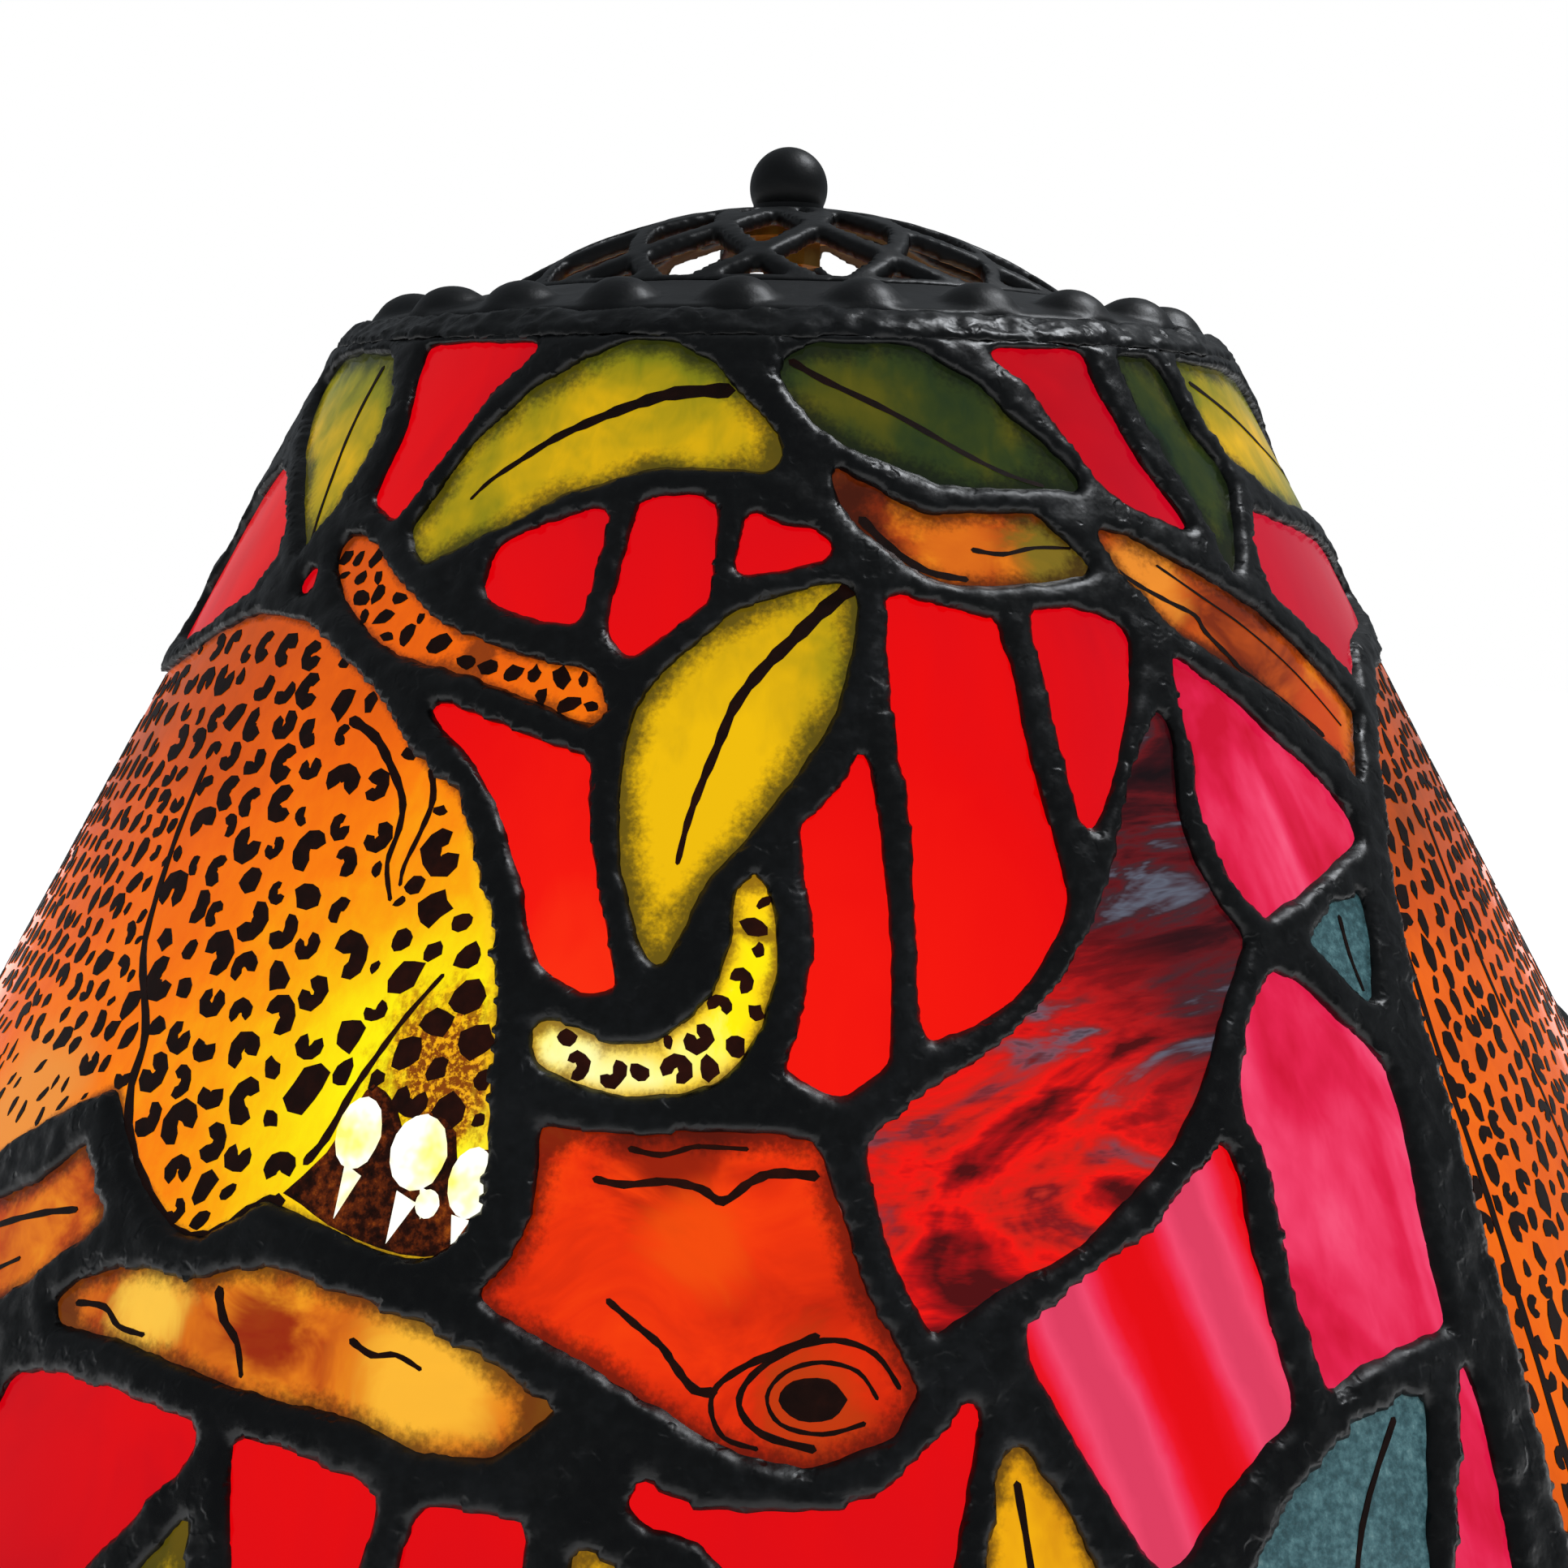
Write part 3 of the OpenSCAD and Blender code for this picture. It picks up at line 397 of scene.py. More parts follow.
def panePiece(name, node, seed, spacing=None):
    work, parts = looseParts(node)
    points, faces = [], []
    edgeGap, tint, along, across = [], [], [], []
    chance = random.Random(seed)
    outer = -shade["glassSkin"]
    inner = outer - shade["glassThick"]
    for part in parts:
        ring = outlineOf(part)
        middle = math.degrees(math.atan2(sum(p.x for p in ring), -sum(p.y for p in ring)))
        flat = []
        for p in ring:
            bearing = math.degrees(math.atan2(p.x, -p.y)) - middle
            bearing = (bearing + 180) % 360 - 180
            flat.append(rollOut(bearing, shade["topZ"] - p.z))
        flatPoints, triangles, line = filledOutline(flat, spacing or panes["spacing"])
        gaps = edgeDistance(flatPoints, line)
        cloud = np.array(flatPoints)
        centre = cloud.mean(0)
        spread = np.linalg.eigh(np.cov((cloud - centre).T))[1]
        axis = spread[:, 1] * (1 if spread[1, 1] < 0 else -1)
        local = (cloud - centre) @ np.array([axis, [-axis[1], axis[0]]]).T
        first = len(points)
        shift = chance.random()
        for side in (outer, inner):
            for (x, y), gap, (u, v) in zip(flatPoints, gaps, local):
                bearing, drop = rollUp(x, y)
                points.append(onShade(bearing + middle, drop, side))
                edgeGap.append(gap)
                tint.append(shift)
                along.append(u)
                across.append(v)
        faces += sheetFaces(cloud, triangles, first)
        if abs(middle) < 90:
            paneSheets.setdefault(node, []).append((middle, line))
    work.free()
    piece = meshPiece(name, points, faces, "shade")
    piece.data.set_sharp_from_angle(angle=math.radians(40))
    for label, values in (("edgeGap", edgeGap), ("tint", tint), ("along", along), ("across", across)):
        piece.data.attributes.new(label, "FLOAT", "POINT").data.foreach_set("value", values)
    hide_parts(node)
    return piece


# Light of the bulbs as the glass shows it: 1 on the glass nearest a bulb, less with distance

def globeCentre(side):
    low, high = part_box("bulb_globe_" + side)
    radius = 22.5 * mm
    y = low.y + radius if side == "front" else high.y - radius
    return ((low.x + high.x) / 2, y, high.z - radius)


glowReach = 0.0375


def glow(recipe):
    front = recipe.away(globeCentre("front")) / glowReach
    back = recipe.away(globeCentre("back")) / glowReach
    return (front ** -2.0 + back ** -2.0).math("MINIMUM", 1.2)


def litGlass(recipe, colour, body=0.06, roughness=0.14):
    recipe.set(Base_Color=recipe.shade(colour, body), Emission_Color=colour,
               Emission_Strength=1.0, Roughness=roughness, IOR=1.5, Specular_IOR_Level=0.3)
    ripple = recipe.noise(90, 2, 0.5) * 0.6 + recipe.noise(420, 2, 0.5) * 0.1
    recipe.relief(ripple, 0.35, 0.4 * mm)
    return recipe


def redGlass(name):
    recipe = Recipe(name)
    x, _, z = recipe.axes()
    light = glow(recipe) + (recipe.own("tint") - 0.5) * 0.1
    streak = recipe.noise(1.0, 3, 0.55, 0.8, recipe.stretched((60, 60, 14), (0, 8, 0)))
    light = light + (streak - 0.5) * 0.3
    red = recipe.ramp(light, [(0.0, "#8A0010"), (0.16, "#BE0012"), (0.28, "#DA000A"),
                              (0.45, "#E80000"), (0.7, "#F21000"), (0.95, "#FF3A08")])
    # Painted reflection: a cooler, pinker red laid on the upper panes towards +x.
    paintedReflection = recipe.step(x, 25 * mm, 80 * mm) * recipe.step(z, 470 * mm, 540 * mm)
    colour = recipe.mix(paintedReflection * 0.75, red, "#B80E34")
    return litGlass(recipe, colour)


def pinkGlass(name):
    recipe = Recipe(name)
    streak = recipe.noise(1.0, 3, 0.5, 1.2, recipe.stretched((48, 48, 12), (0, 12, 20)))
    fine = recipe.noise(1.0, 3, 0.6, 0.3, recipe.stretched((240, 240, 26), (0, 12, 20)))
    level = streak + (fine - 0.5) * 0.25 + (recipe.own("tint") - 0.5) * 0.16
    stops = [(0.3, "#C8082E"), (0.42, "#DC1C48"), (0.55, "#EA3A64"), (0.66, "#F2547A"), (0.8, "#F67E98")]
    return litGlass(recipe, recipe.ramp(level, stops), body=0.08)


def stripedGlass(name):
    recipe = Recipe(name)
    x, _, z = recipe.axes()
    across = (x * 0.92 + z * 0.39) * 400 + (recipe.noise(25, 2, 0.5) - 0.5) * 2.2
    fine = recipe.noise(1.0, 3, 0.6, 0.3, recipe.stretched((260, 260, 30), (0, 24, 0)))
    wave = across.math("SINE") * 0.5 + 0.5 + (fine - 0.5) * 0.3
    stops = [(0.1, "#E00008"), (0.35, "#E60C20"), (0.55, "#E8284C"), (0.75, "#EA4468"), (0.95, "#D83A5C")]
    return litGlass(recipe, recipe.ramp(wave, stops), body=0.08)


def streakyGlass(name):
    recipe = Recipe(name)
    wave = recipe.noise(1.0, 4, 0.55, 1.8, recipe.stretched((26, 26, 95), (0, -24, 0)))
    fine = recipe.noise(1.0, 4, 0.7, 0.8, recipe.stretched((70, 70, 420), (0, -18, 0)))
    level = wave * 0.8 + fine * 0.2
    # Painted reflection: the dim ramp carries grey-blue streaks that stand for a reflection.
    dimWithReflection = recipe.ramp(level, [(0.34, "#14060A"), (0.42, "#34090F"), (0.48, "#5A0E14"), (0.53, "#3A2026"),
                               (0.58, "#565A68"), (0.63, "#2A1218"), (0.7, "#6A1A1C")])
    # Painted light: a brighter, redder copy of the streaks, mixed in near a spot by the front bulb and
    # fading away from it.
    hot = recipe.ramp(level, [(0.34, "#4A0608"), (0.42, "#A0080C"), (0.48, "#E81008"), (0.54, "#C81A10"),
                              (0.6, "#7A1014"), (0.7, "#D83020")])
    warm = recipe.away(onShade(11, 90 * mm)) / (34 * mm)
    bulbLitShare = 1 - recipe.step(warm + (wave - 0.5) * 1.5, 0.35, 1.0)
    return litGlass(recipe, recipe.mix(bulbLitShare, dimWithReflection, hot), body=0.2, roughness=0.12)


def speckledEdge(recipe, reach, grain=1500):
    gap = recipe.own("edgeGap")
    speck = recipe.noise(grain, 2, 0.6) - 0.5
    cloud = recipe.noise(120, 2, 0.5) - 0.5
    return 1 - recipe.step(gap + speck * (0.9 * reach) + cloud * (1.4 * reach), 0.1 * reach, 1.1 * reach)


def leafGlass(name, stops, edge, reach=3.2 * mm, glowing=True):
    recipe = Recipe(name)
    across = recipe.own("across")
    cloud = recipe.noise(70, 3, 0.55, 0.4)
    vein = recipe.noise(1.0, 3, 0.6, 0.5, recipe.stretched((300, 300, 60), (0, 40, 0)))
    level = across.math("ABSOLUTE") * 30 + (cloud - 0.5) * 1.3 + (vein - 0.5) * 0.4 + 0.2
    if glowing:
        level = level - (glow(recipe) - 0.3) * 1.8
    colour = recipe.ramp(level, stops)
    colour = recipe.mix(speckledEdge(recipe, reach) * 0.85, colour, edge)
    return litGlass(recipe, colour, body=0.12)


def tealGlass(name):
    recipe = Recipe(name)
    grain = recipe.noise(900, 4, 0.7)
    cloud = recipe.noise(60, 3, 0.5)
    colour = recipe.ramp(grain * 0.6 + cloud * 0.4, [(0.3, "#1C3234"), (0.45, "#34555A"),
                                                    (0.55, "#4E7276"), (0.7, "#7E9A98")])
    recipe.set(Base_Color=colour, Emission_Color=recipe.shade(colour, 0.4), Emission_Strength=0.5,
               Roughness=0.42, IOR=1.5)
    recipe.relief(recipe.noise(1400, 3, 0.7) + recipe.noise(300, 2, 0.5) * 0.8, 0.5, 0.25 * mm)
    return recipe


def branchGlass(name, stops, edge, reach=2.2 * mm, tints=()):
    recipe = Recipe(name)
    swirl = recipe.noise(1.0, 4, 0.6, 1.2, recipe.stretched((60, 60, 110), (0, 25, 0)))
    cloud = recipe.noise(38, 2, 0.5)
    light = glow(recipe) * 0.7 + (swirl - 0.5) * 0.8 + (cloud - 0.5) * 0.4
    colour = recipe.ramp(light, stops)
    for bearing, drop, width, tint in tints:
        gone = recipe.away(onShade(bearing, drop * mm)) / (width * mm) + (swirl - 0.5) * 1.6
        colour = recipe.mix((1 - recipe.step(gone, 0.35, 1.05)) * 0.85, colour, tint)
    colour = recipe.mix(speckledEdge(recipe, reach) * 0.8, colour, edge)
    return litGlass(recipe, colour)


def furGlass(name, hottest):
    recipe = Recipe(name)
    grain = recipe.noise(1.0, 4, 0.65, 0.2, recipe.stretched((520, 520, 160), (0, 20, 0)))
    cloud = recipe.noise(45, 3, 0.55)
    # Painted light: the fur is brighter lower down the shade, added to the bulb light.
    low = 1 - recipe.step(recipe.axes()[2], shade["topZ"] - 92 * mm, shade["topZ"] - 54 * mm)
    light = glow(recipe) + (cloud - 0.5) * 0.3 + (grain - 0.5) * 0.1 + low * 0.2
    colour = recipe.ramp(light, [(0.04, "#6E2604"), (0.15, "#A24208"), (0.27, "#CC4E04"), (0.39, "#EC6402"),
                                 (0.5, "#F87C00"), (0.6, "#FAA600"), (0.7, "#FAD800"), (0.8, "#FFF400"),
                                 (0.98, hottest)])
    under = recipe.away(onShade(-49, 99 * mm)) / (17 * mm)
    belly = 1 - recipe.step(under + (cloud - 0.5) * 1.2, 0.5, 1.1)
    colour = recipe.mix(belly * 0.8, colour, "#E8943C")
    toes = recipe.away(onShade(-18, 79 * mm)) / (9.5 * mm)
    shadow = 1 - recipe.step(toes + (grain - 0.5) * 1.4, 0.4, 1.2)
    speck = recipe.step(recipe.noise(1300, 3, 0.7), 0.4, 0.56)
    colour = recipe.mix(shadow * 0.75, colour, "#F08A0C")
    colour = recipe.mix(shadow * speck * 0.9, colour, "#6E1C02")
    gap = recipe.own("edgeGap")
    # Painted light: a yellow rim along the pane edges, only where the bulb light is strong.
    litEdge = 1 - recipe.step(gap + (cloud - 0.5) * (3 * mm), 0.4 * mm, 2.2 * mm)
    colour = recipe.mix(litEdge * recipe.step(light, 0.5, 0.7) * 0.8, colour, "#FFCC10")
    colour = recipe.mix(speckledEdge(recipe, 1.2 * mm, 2200) * 0.75, colour, "#4A1C08")
    return litGlass(recipe, colour, body=0.05)


leafStops = [(0.0, "#E8B600"), (0.25, "#D2A604"), (0.5, "#A8900A"), (0.75, "#7A780E"), (1.0, "#40460C")]
darkStops = [(0.0, "#5A5410"), (0.25, "#4A4A0E"), (0.5, "#2E3A14"), (0.75, "#1A2C18"), (1.0, "#10180C")]
yellowStops = [(0.0, "#F4B800"), (0.3, "#E8A404"), (0.6, "#C88008"), (0.9, "#6A400C")]
amberStops = [(0.0, "#7A2806"), (0.15, "#B84A0E"), (0.3, "#DC7414"), (0.48, "#F09A1C"), (0.7, "#FFC030")]
logStops = [(0.0, "#8E1400"), (0.25, "#CC2400"), (0.45, "#EA3000"), (0.65, "#F84000"), (0.95, "#FF7C10")]
borderStops = [(0.0, "#7A2C08"), (0.1, "#B0560F"), (0.2, "#D07C1C"), (0.5, "#E8A030")]
darkBorderStops = [(0.0, "#3A0E04"), (0.1, "#641C08"), (0.2, "#8A3010"), (0.5, "#B04818")]

branchTints = [(-15.5, 105.5, 10, "#FFBE34"), (-31.5, 106.5, 7, "#FFCC48"), (-24.5, 105, 7, "#8A1204"),
               (6.5, 20, 7, "#6A1C06"), (22.5, 26.5, 8, "#6A6A1C"), (14, 24.5, 6, "#D86A14"),
               (47, 47, 8, "#C8420C"), (32, 28, 7, "#F0922C"), (-49, 112, 12, "#C83A06")]
logTints = [(-5, 84, 9, "#7A1600"), (-3.5, 92, 7, "#F04A00"), (1.8, 105.4, 7, "#B83804")]

glassKinds = {
    "glass_red": redGlass,
    "glass_pink": pinkGlass,
    "glass_striped": stripedGlass,
    "glass_streaky": streakyGlass,
    "glass_green_leaf": lambda n: leafGlass(n, leafStops, "#20240A"),
    "glass_dark_leaf": lambda n: leafGlass(n, darkStops, "#10160C"),
    "glass_teal_leaf": tealGlass,
    "glass_yellow_leaf": lambda n: leafGlass(n, yellowStops, "#3A2408", 2.0 * mm),
    "glass_branch": lambda n: branchGlass(n, amberStops, "#2A0E04", tints=branchTints),
    "glass_log": lambda n: branchGlass(n, logStops, "#3A0A00", 2.6 * mm, logTints),
    "glass_leopard": lambda n: furGlass(n, "#FFF640"),
    "glass_tail": lambda n: furGlass(n, "#FFFFC8"),
    "glass_skirt_red": redGlass,
    "glass_skirt_leaf": lambda n: leafGlass(n, leafStops, "#20240A"),
    "glass_border_upper": lambda n: branchGlass(n, borderStops, "#3A1604", 1.6 * mm),
    "glass_border_lower": lambda n: branchGlass(n, darkBorderStops, "#1A0602", 1.6 * mm),
}
for seed, (node, finish) in enumerate(glassKinds.items()):
    wide = 6 * mm if "skirt" in node or "border" in node else None
    coat(panePiece(node.replace("glass_", "panes_"), node, seed, wide), finish(node))
print("glass panes")


# Paint fired on the glass: closed plates a hair proud of it, the same on both halves

paintDepth = {"under": -0.55 * mm, "first": -0.28 * mm, "second": -0.2 * mm}


def smoothLine(points, steps=4):
    ends = [points[0], *points, points[-1]]
    out = []
    for a, b, c, d in zip(ends, ends[1:], ends[2:], ends[3:]):
        for k in range(steps):
            t = k / steps
            out.append(tuple(0.5 * (2 * q + (r - p) * t + (2 * p - 5 * q + 4 * r - s) * t * t
                                    + (3 * q - p - 3 * r + s) * t ** 3)
                             for p, q, r, s in zip(a, b, c, d)))
    return out + [points[-1]]


def strokeOutline(line, widths):
    left, right = [], []
    for i, (x, y) in enumerate(line):
        ax, ay = line[max(i - 1, 0)]
        bx, by = line[min(i + 1, len(line) - 1)]
        size = max(math.hypot(bx - ax, by - ay), 1e-9)
        nx, ny = (ay - by) / size * widths[i] / 2, (bx - ax) / size * widths[i] / 2
        left.append((x + nx, y + ny))
        right.append((x - nx, y - ny))
    tips = []
    for (x, y), (fx, fy), width in ((line[-1], line[-2], widths[-1]), (line[0], line[1], widths[0])):
        size = max(math.hypot(x - fx, y - fy), 1e-9)
        tips.append((x + (x - fx) / size * width * 0.45, y + (y - fy) / size * width * 0.45))
    return left + [tips[0]] + right[::-1] + [tips[1]]


class Paint:
    def __init__(self, name):
        self.name = name
        self.points = []
        self.faces = []

    def plate(self, outline, middle=0.0, level="first"):
        cloud, triangles, _ = filledOutline(outline, 2.4 * mm)
        for half in (0, 180):
            first = len(self.points)
            for depth in (paintDepth[level], paintDepth["under"]):
                for x, y in cloud:
                    bearing, drop = rollUp(x, y)
                    self.points.append(onShade(bearing + middle + half, drop, depth))
            self.faces += sheetFaces(cloud, triangles, first)

    def area(self, corners, level="first", steps=3):
        middle = sum(c[0] for c in corners) / len(corners)
        flat = [rollOut(b - middle, d * mm) for b, d in corners]
        ring = smoothLine(flat + flat[:1], steps)[:-1] if steps > 1 else flat
        self.plate(ring, middle, level)

    def stroke(self, corners, wide, thin, level="first"):
        middle = corners[len(corners) // 2][0]
        line = smoothLine([rollOut(b - middle, d * mm) for b, d in corners])
        count = len(line) - 1
        widths = [(wide + (thin - wide) * i / count) * (1 + 0.16 * math.sin(i * 2.1)) * mm
                  for i in range(count + 1)]
        self.plate(strokeOutline(line, widths), middle, level)

    def finish(self, recipe):
        piece = meshPiece(self.name, self.points, self.faces, "shade", False)
        coat(piece, recipe)
        return piece


def hookOutline(chance, place, size):
    start = chance.uniform(0, 2 * math.pi)
    sweep = math.radians(chance.choice((140, 190, 215, 245)) + chance.uniform(-18, 18))
    squash = chance.uniform(0.9, 1.04)
    line, widths = [], []
    for i in range(7):
        angle = start + sweep * i / 6
        reach = size * 0.56 * chance.uniform(0.92, 1.08)
        line.append((place[0] + reach * math.cos(angle) * squash, place[1] + reach * math.sin(angle)))
        widths.append(size * 0.84 * chance.uniform(0.82, 1.1) * (0.8 if i in (0, 6) else 1))
    return strokeOutline(line, widths)


def blobOutline(chance, place, length, wide, lean):
    ring = []
    for i in range(9):
        angle = 2 * math.pi * i / 9
        reach = chance.uniform(0.75, 1.2)
        u, v = length / 2 * reach * math.cos(angle), wide / 2 * reach * math.sin(angle)
        ring.append((place[0] + u * math.cos(lean) - v * math.sin(lean),
                     place[1] + u * math.sin(lean) + v * math.cos(lean)))
    return ring


def insideRing(point, ring):
    x, y = point
    inside = False
    for (ax, ay), (bx, by) in zip(ring, ring[1:] + ring[:1]):
        if (ay > y) != (by > y) and x < (bx - ax) * (y - ay) / (by - ay) + ax:
            inside = not inside
    return inside


bodyLines = [
    ([(-47, 54.8), (-46.5, 62), (-45.2, 70.6), (-43.7, 76), (-40, 82.9), (-39.2, 88.5), (-37.5, 93.1),
      (-35, 96.5), (-32, 99.5), (-30.1, 99.6), (-28.6, 98.2), (-26.9, 95.3), (-25.7, 94.2)], 1.0, 1.9),
    ([(-32.5, 46.2), (-29.8, 47.7), (-27.8, 50.2), (-25.8, 53.7), (-25.3, 56.9), (-25.4, 60.6),
      (-24.4, 64.1)], 1.3, 0.5),
    ([(-24.2, 50.4), (-23.4, 53.5), (-23.6, 56.8), (-24.1, 60.5), (-24.0, 62.5)], 0.9, 0.4),
    ([(-19.5, 70.7), (-21.1, 75), (-22.3, 79.2), (-23.2, 82.9), (-24, 87.5), (-24.8, 90.1)], 0.5, 1.1),
    ([(47, 52), (45.6, 62), (44.2, 74), (43, 86), (42, 100), (40.5, 116), (39.5, 130)], 0.8, 1.2),
    ([(57, 62), (55, 72), (54, 84), (54, 96), (52.5, 108)], 0.8, 0.6),
]
paw = {
    "ground": [(-25.6, 93.3), (-23.7, 88.8), (-22.7, 84.2), (-22.0, 81.8), (-20.3, 83.5), (-19.3, 86.1),
               (-18.2, 83.5), (-16.6, 85.0), (-16.2, 87.6), (-14.9, 86.2), (-13.9, 86.7), (-13.6, 91.8),
               (-14.7, 94.7), (-16.9, 96.2), (-19.4, 96.1), (-22.4, 95.1), (-24.3, 93.9)],
    "toes": [(-22.1, 86.4, 2.7, 6.8), (-18.4, 87.2, 3.2, 7), (-15.2, 89.2, 2.5, 6.4),
             (-17.3, 91.6, 1.3, 2.6)],
    "claws": [[(-22.4, 89.4), (-21.3, 90.2), (-22.2, 94.4)], [(-19.1, 90.9), (-17.9, 91.7), (-19.0, 95.6)],
              [(-15.9, 92.2), (-14.9, 92.5), (-15.6, 95)], [(-17.9, 90.2), (-17.2, 90.6), (-17.5, 93)]],
}
veins = [
    ([(5.4, 28.8), (3.2, 31.3), (0.8, 34.7), (-1.4, 38), (-3.2, 41.8), (-4.2, 46), (-5.2, 50.5),
      (-5.8, 54), (-6.2, 58)], 1.9, 0.6),
    ([(-5.4, 6.6), (-10.5, 7), (-14, 8.3), (-17.9, 10.3), (-21.4, 12.5), (-24.4, 15.2), (-27, 17.8),
      (-28.4, 20)], 2.0, 0.4),
    ([(0.5, 3), (3.8, 5.3), (10, 9), (15.8, 13.3), (19.9, 16), (23.3, 17.4)], 1.0, 0.5),
    ([(-50, 3.5), (-50.5, 9), (-50, 15), (-48.5, 22), (-47.4, 26)], 0.8, 0.4),
    ([(50, 4), (57, 8), (64, 12.5), (72, 16), (79, 18.5)], 0.8, 0.4),
    ([(10.4, 113), (10.6, 122), (10.4, 132), (9.8, 143)], 0.8, 0.5),
    ([(38.6, 68), (38.2, 72), (38.2, 76)], 0.6, 0.4),
    ([(29.5, 114.5), (26, 122), (24, 132), (23.4, 144)], 0.7, 0.4),
]
bark = [
    ([(-8.9, 87.7), (-7.4, 88), (-5.3, 87.5), (-3.6, 88), (-2.5, 89), (-1.2, 87.3), (0, 86.5),
      (2.0, 86.7)], 0.7, 1.0),
    ([(-7.3, 84.8), (-5.7, 85.2), (-4.2, 84.4), (-3.4, 84.3), (-1.4, 84.4)], 0.6, 0.4),
    ([(-7.6, 98), (-6.3, 99.7), (-5, 101.4), (-4.3, 103), (-3.4, 104.8), (-2.5, 105)], 0.6, 0.9),
    ([(2, 100.3), (0.4, 101.5), (-1.1, 102.7), (-2.4, 104.5), (-2.6, 106.5), (-2, 108.6),
      (-0.6, 109.4)], 0.8, 0.4),
    ([(5.6, 104.6), (4.6, 101.8), (2.8, 100.6), (0.8, 101.4), (-0.9, 103.6), (-1.4, 106), (-0.4, 108.2),
      (1.8, 109.4)], 0.5, 0.7),
    ([(4.6, 105.4), (3.8, 103.2), (2.2, 102.4), (0.6, 103.2), (-0.2, 105.2), (0.4, 107.4), (2.2, 108.2),
      (4, 107.4)], 0.4, 0.4),
    ([(15.5, 24.8), (18, 25.3), (21, 24.6), (24.3, 24.7)], 0.7, 0.4),
    ([(6.4, 21.4), (8.6, 24.6), (11.4, 27.2), (14.5, 28.1)], 1.2, 0.8),
    ([(28.3, 27.2), (30.3, 29.2), (33, 31.3), (35.3, 33), (35.8, 35), (37.5, 38), (38.6, 40), (42, 44),
      (45.5, 48.5)], 0.6, 0.9),
    ([(33, 27), (37, 31), (41, 35), (45.5, 41), (49, 48)], 0.4, 0.3),
    ([(-36.4, 109.2), (-34.4, 108.4), (-33, 109.4), (-31.2, 109.2)], 0.7, 0.5),
    ([(-27.6, 103.2), (-26.8, 105.4), (-25.6, 107), (-24.8, 109.6)], 1.1, 0.5),
    ([(-19.6, 104.4), (-18.4, 105.2), (-17.2, 104.8), (-15.9, 105.6)], 0.7, 0.4),
    ([(-56, 119.5), (-52, 115.5), (-48.5, 111), (-45.5, 107), (-42, 103.5), (-39.4, 101.6)], 0.9, 0.8),
    ([(-54.5, 121.5), (-50, 117.6), (-46, 113.5), (-42.4, 108.6)], 0.6, 0.6),
]
ink = Paint("paint_dark")
hot = Paint("paint_white")
for corners, wide, thin in bodyLines + veins + bark:
    ink.stroke(corners, wide, thin)
ink.area([(1.8 + 1.5 * math.cos(a), 105.4 + 1.8 * math.sin(a)) for a in (0, 1, 2, 3.1, 4.1, 5.2)], "second")
ground = Paint("paint_ground")
ground.area(paw["ground"], "first", 2)
for bearing, drop, wide, tall in paw["toes"]:
    ring = [(bearing + wide / 2 * math.cos(a), drop + tall / 2 * math.sin(a))
            for a in (0, 0.8, 1.57, 2.35, 3.14, 3.9, 4.71, 5.5)]
    hot.area(ring, "second", 2)
for corners in paw["claws"]:
    hot.area(corners, "second", 1)


# Coat markings by zone: spacing in mm, share of hooks, length to width, lean

coatZones = {
    "rosettes": (5.5, 0.9, 1.3, None),
    "flank": (4.2, 0.45, 1.6, 1.1),
    "ovals": (4.5, 0.15, 1.35, 1.0),
    "dashes": (2.9, 0.0, 2.9, 1.1),
    "tail": (3.1, 0.1, 1.5, None),
    "tailEnd": (3.7, 0.7, 1.3, None),
}


def coatZone(node, bearing, drop):
    if node == "glass_tail":
        return "tailEnd" if drop > 66 else "tail"
    if bearing > 0:
        return "flank"
    if drop > 90 and bearing < -41:
        return "dashes"
    shoulder = bodyLines[0][0]
    if drop > 54 and bearing < np.interp(drop, [d for _, d in shoulder], [b for b, _ in shoulder]):
        return "flank"
    return "ovals" if bearing > -25.5 and drop > 63 else "rosettes"


placed = {}
rowStep = 0.88      # rows of a staggered grid, as a share of the spacing
stray = 0.14        # how far a spot strays from its place in the grid


def spots(chance, node, zone):
    spacing, hooks, ratio, lean = coatZones[zone]
    spacing *= mm
    lines = [rollOut(b, d * mm) for corners, _, _ in bodyLines for b, d in smoothLine(corners, 3)]
    for middle, ring in paneSheets[node]:
        low, high = np.min(ring, axis=0), np.max(ring, axis=0)
        rows = int((high[1] - low[1]) / (spacing * rowStep)) + 1
        taken = placed.setdefault((node, middle), [])
        columns = int((high[0] - low[0]) / spacing) + 1
        for row in range(rows):
            for column in range(columns):
                place = (low[0] + (column + 0.5 * (row % 2) + chance.uniform(-stray, stray)) * spacing,
                         low[1] + (row + chance.uniform(-stray, stray)) * spacing * rowStep)
                bearing, drop = rollUp(*place)
                bearing += middle
                drop /= mm
                if coatZone(node, bearing, drop) != zone or not insideRing(place, ring):
                    continue
                if insideRing((bearing, drop), paw["ground"]):
                    continue
                x, y = rollOut(bearing, drop * mm)
                near = min(math.hypot(x - px, y - py) for px, py in lines)
                room = [edgeDistance([place], ring)[0] - 0.1 * mm, near - 0.5 * mm]
                room += [math.dist(place, other) - reach - 0.1 * mm for other, reach in taken]
                size = min(spacing * 0.55 * chance.uniform(0.92, 1.08), *room)
                if size < 0.75 * mm or (zone == "dashes" and chance.random() < 0.35):
                    continue
                taken.append((place, size))
                if size > 1.5 * mm and chance.random() < hooks:
                    ink.plate(hookOutline(chance, place, size), middle)
                else:
                    turn = chance.uniform(0, 3.1) if lean is None else lean + chance.uniform(-0.4, 0.4)
                    long = 1.95 * size
                    ink.plate(blobOutline(chance, place, long, long / ratio, turn), middle)


for zone in ("rosettes", "flank", "ovals", "dashes"):
    spots(random.Random(4), "glass_leopard", zone)
for zone in ("tail", "tailEnd"):
    spots(random.Random(9), "glass_tail", zone)


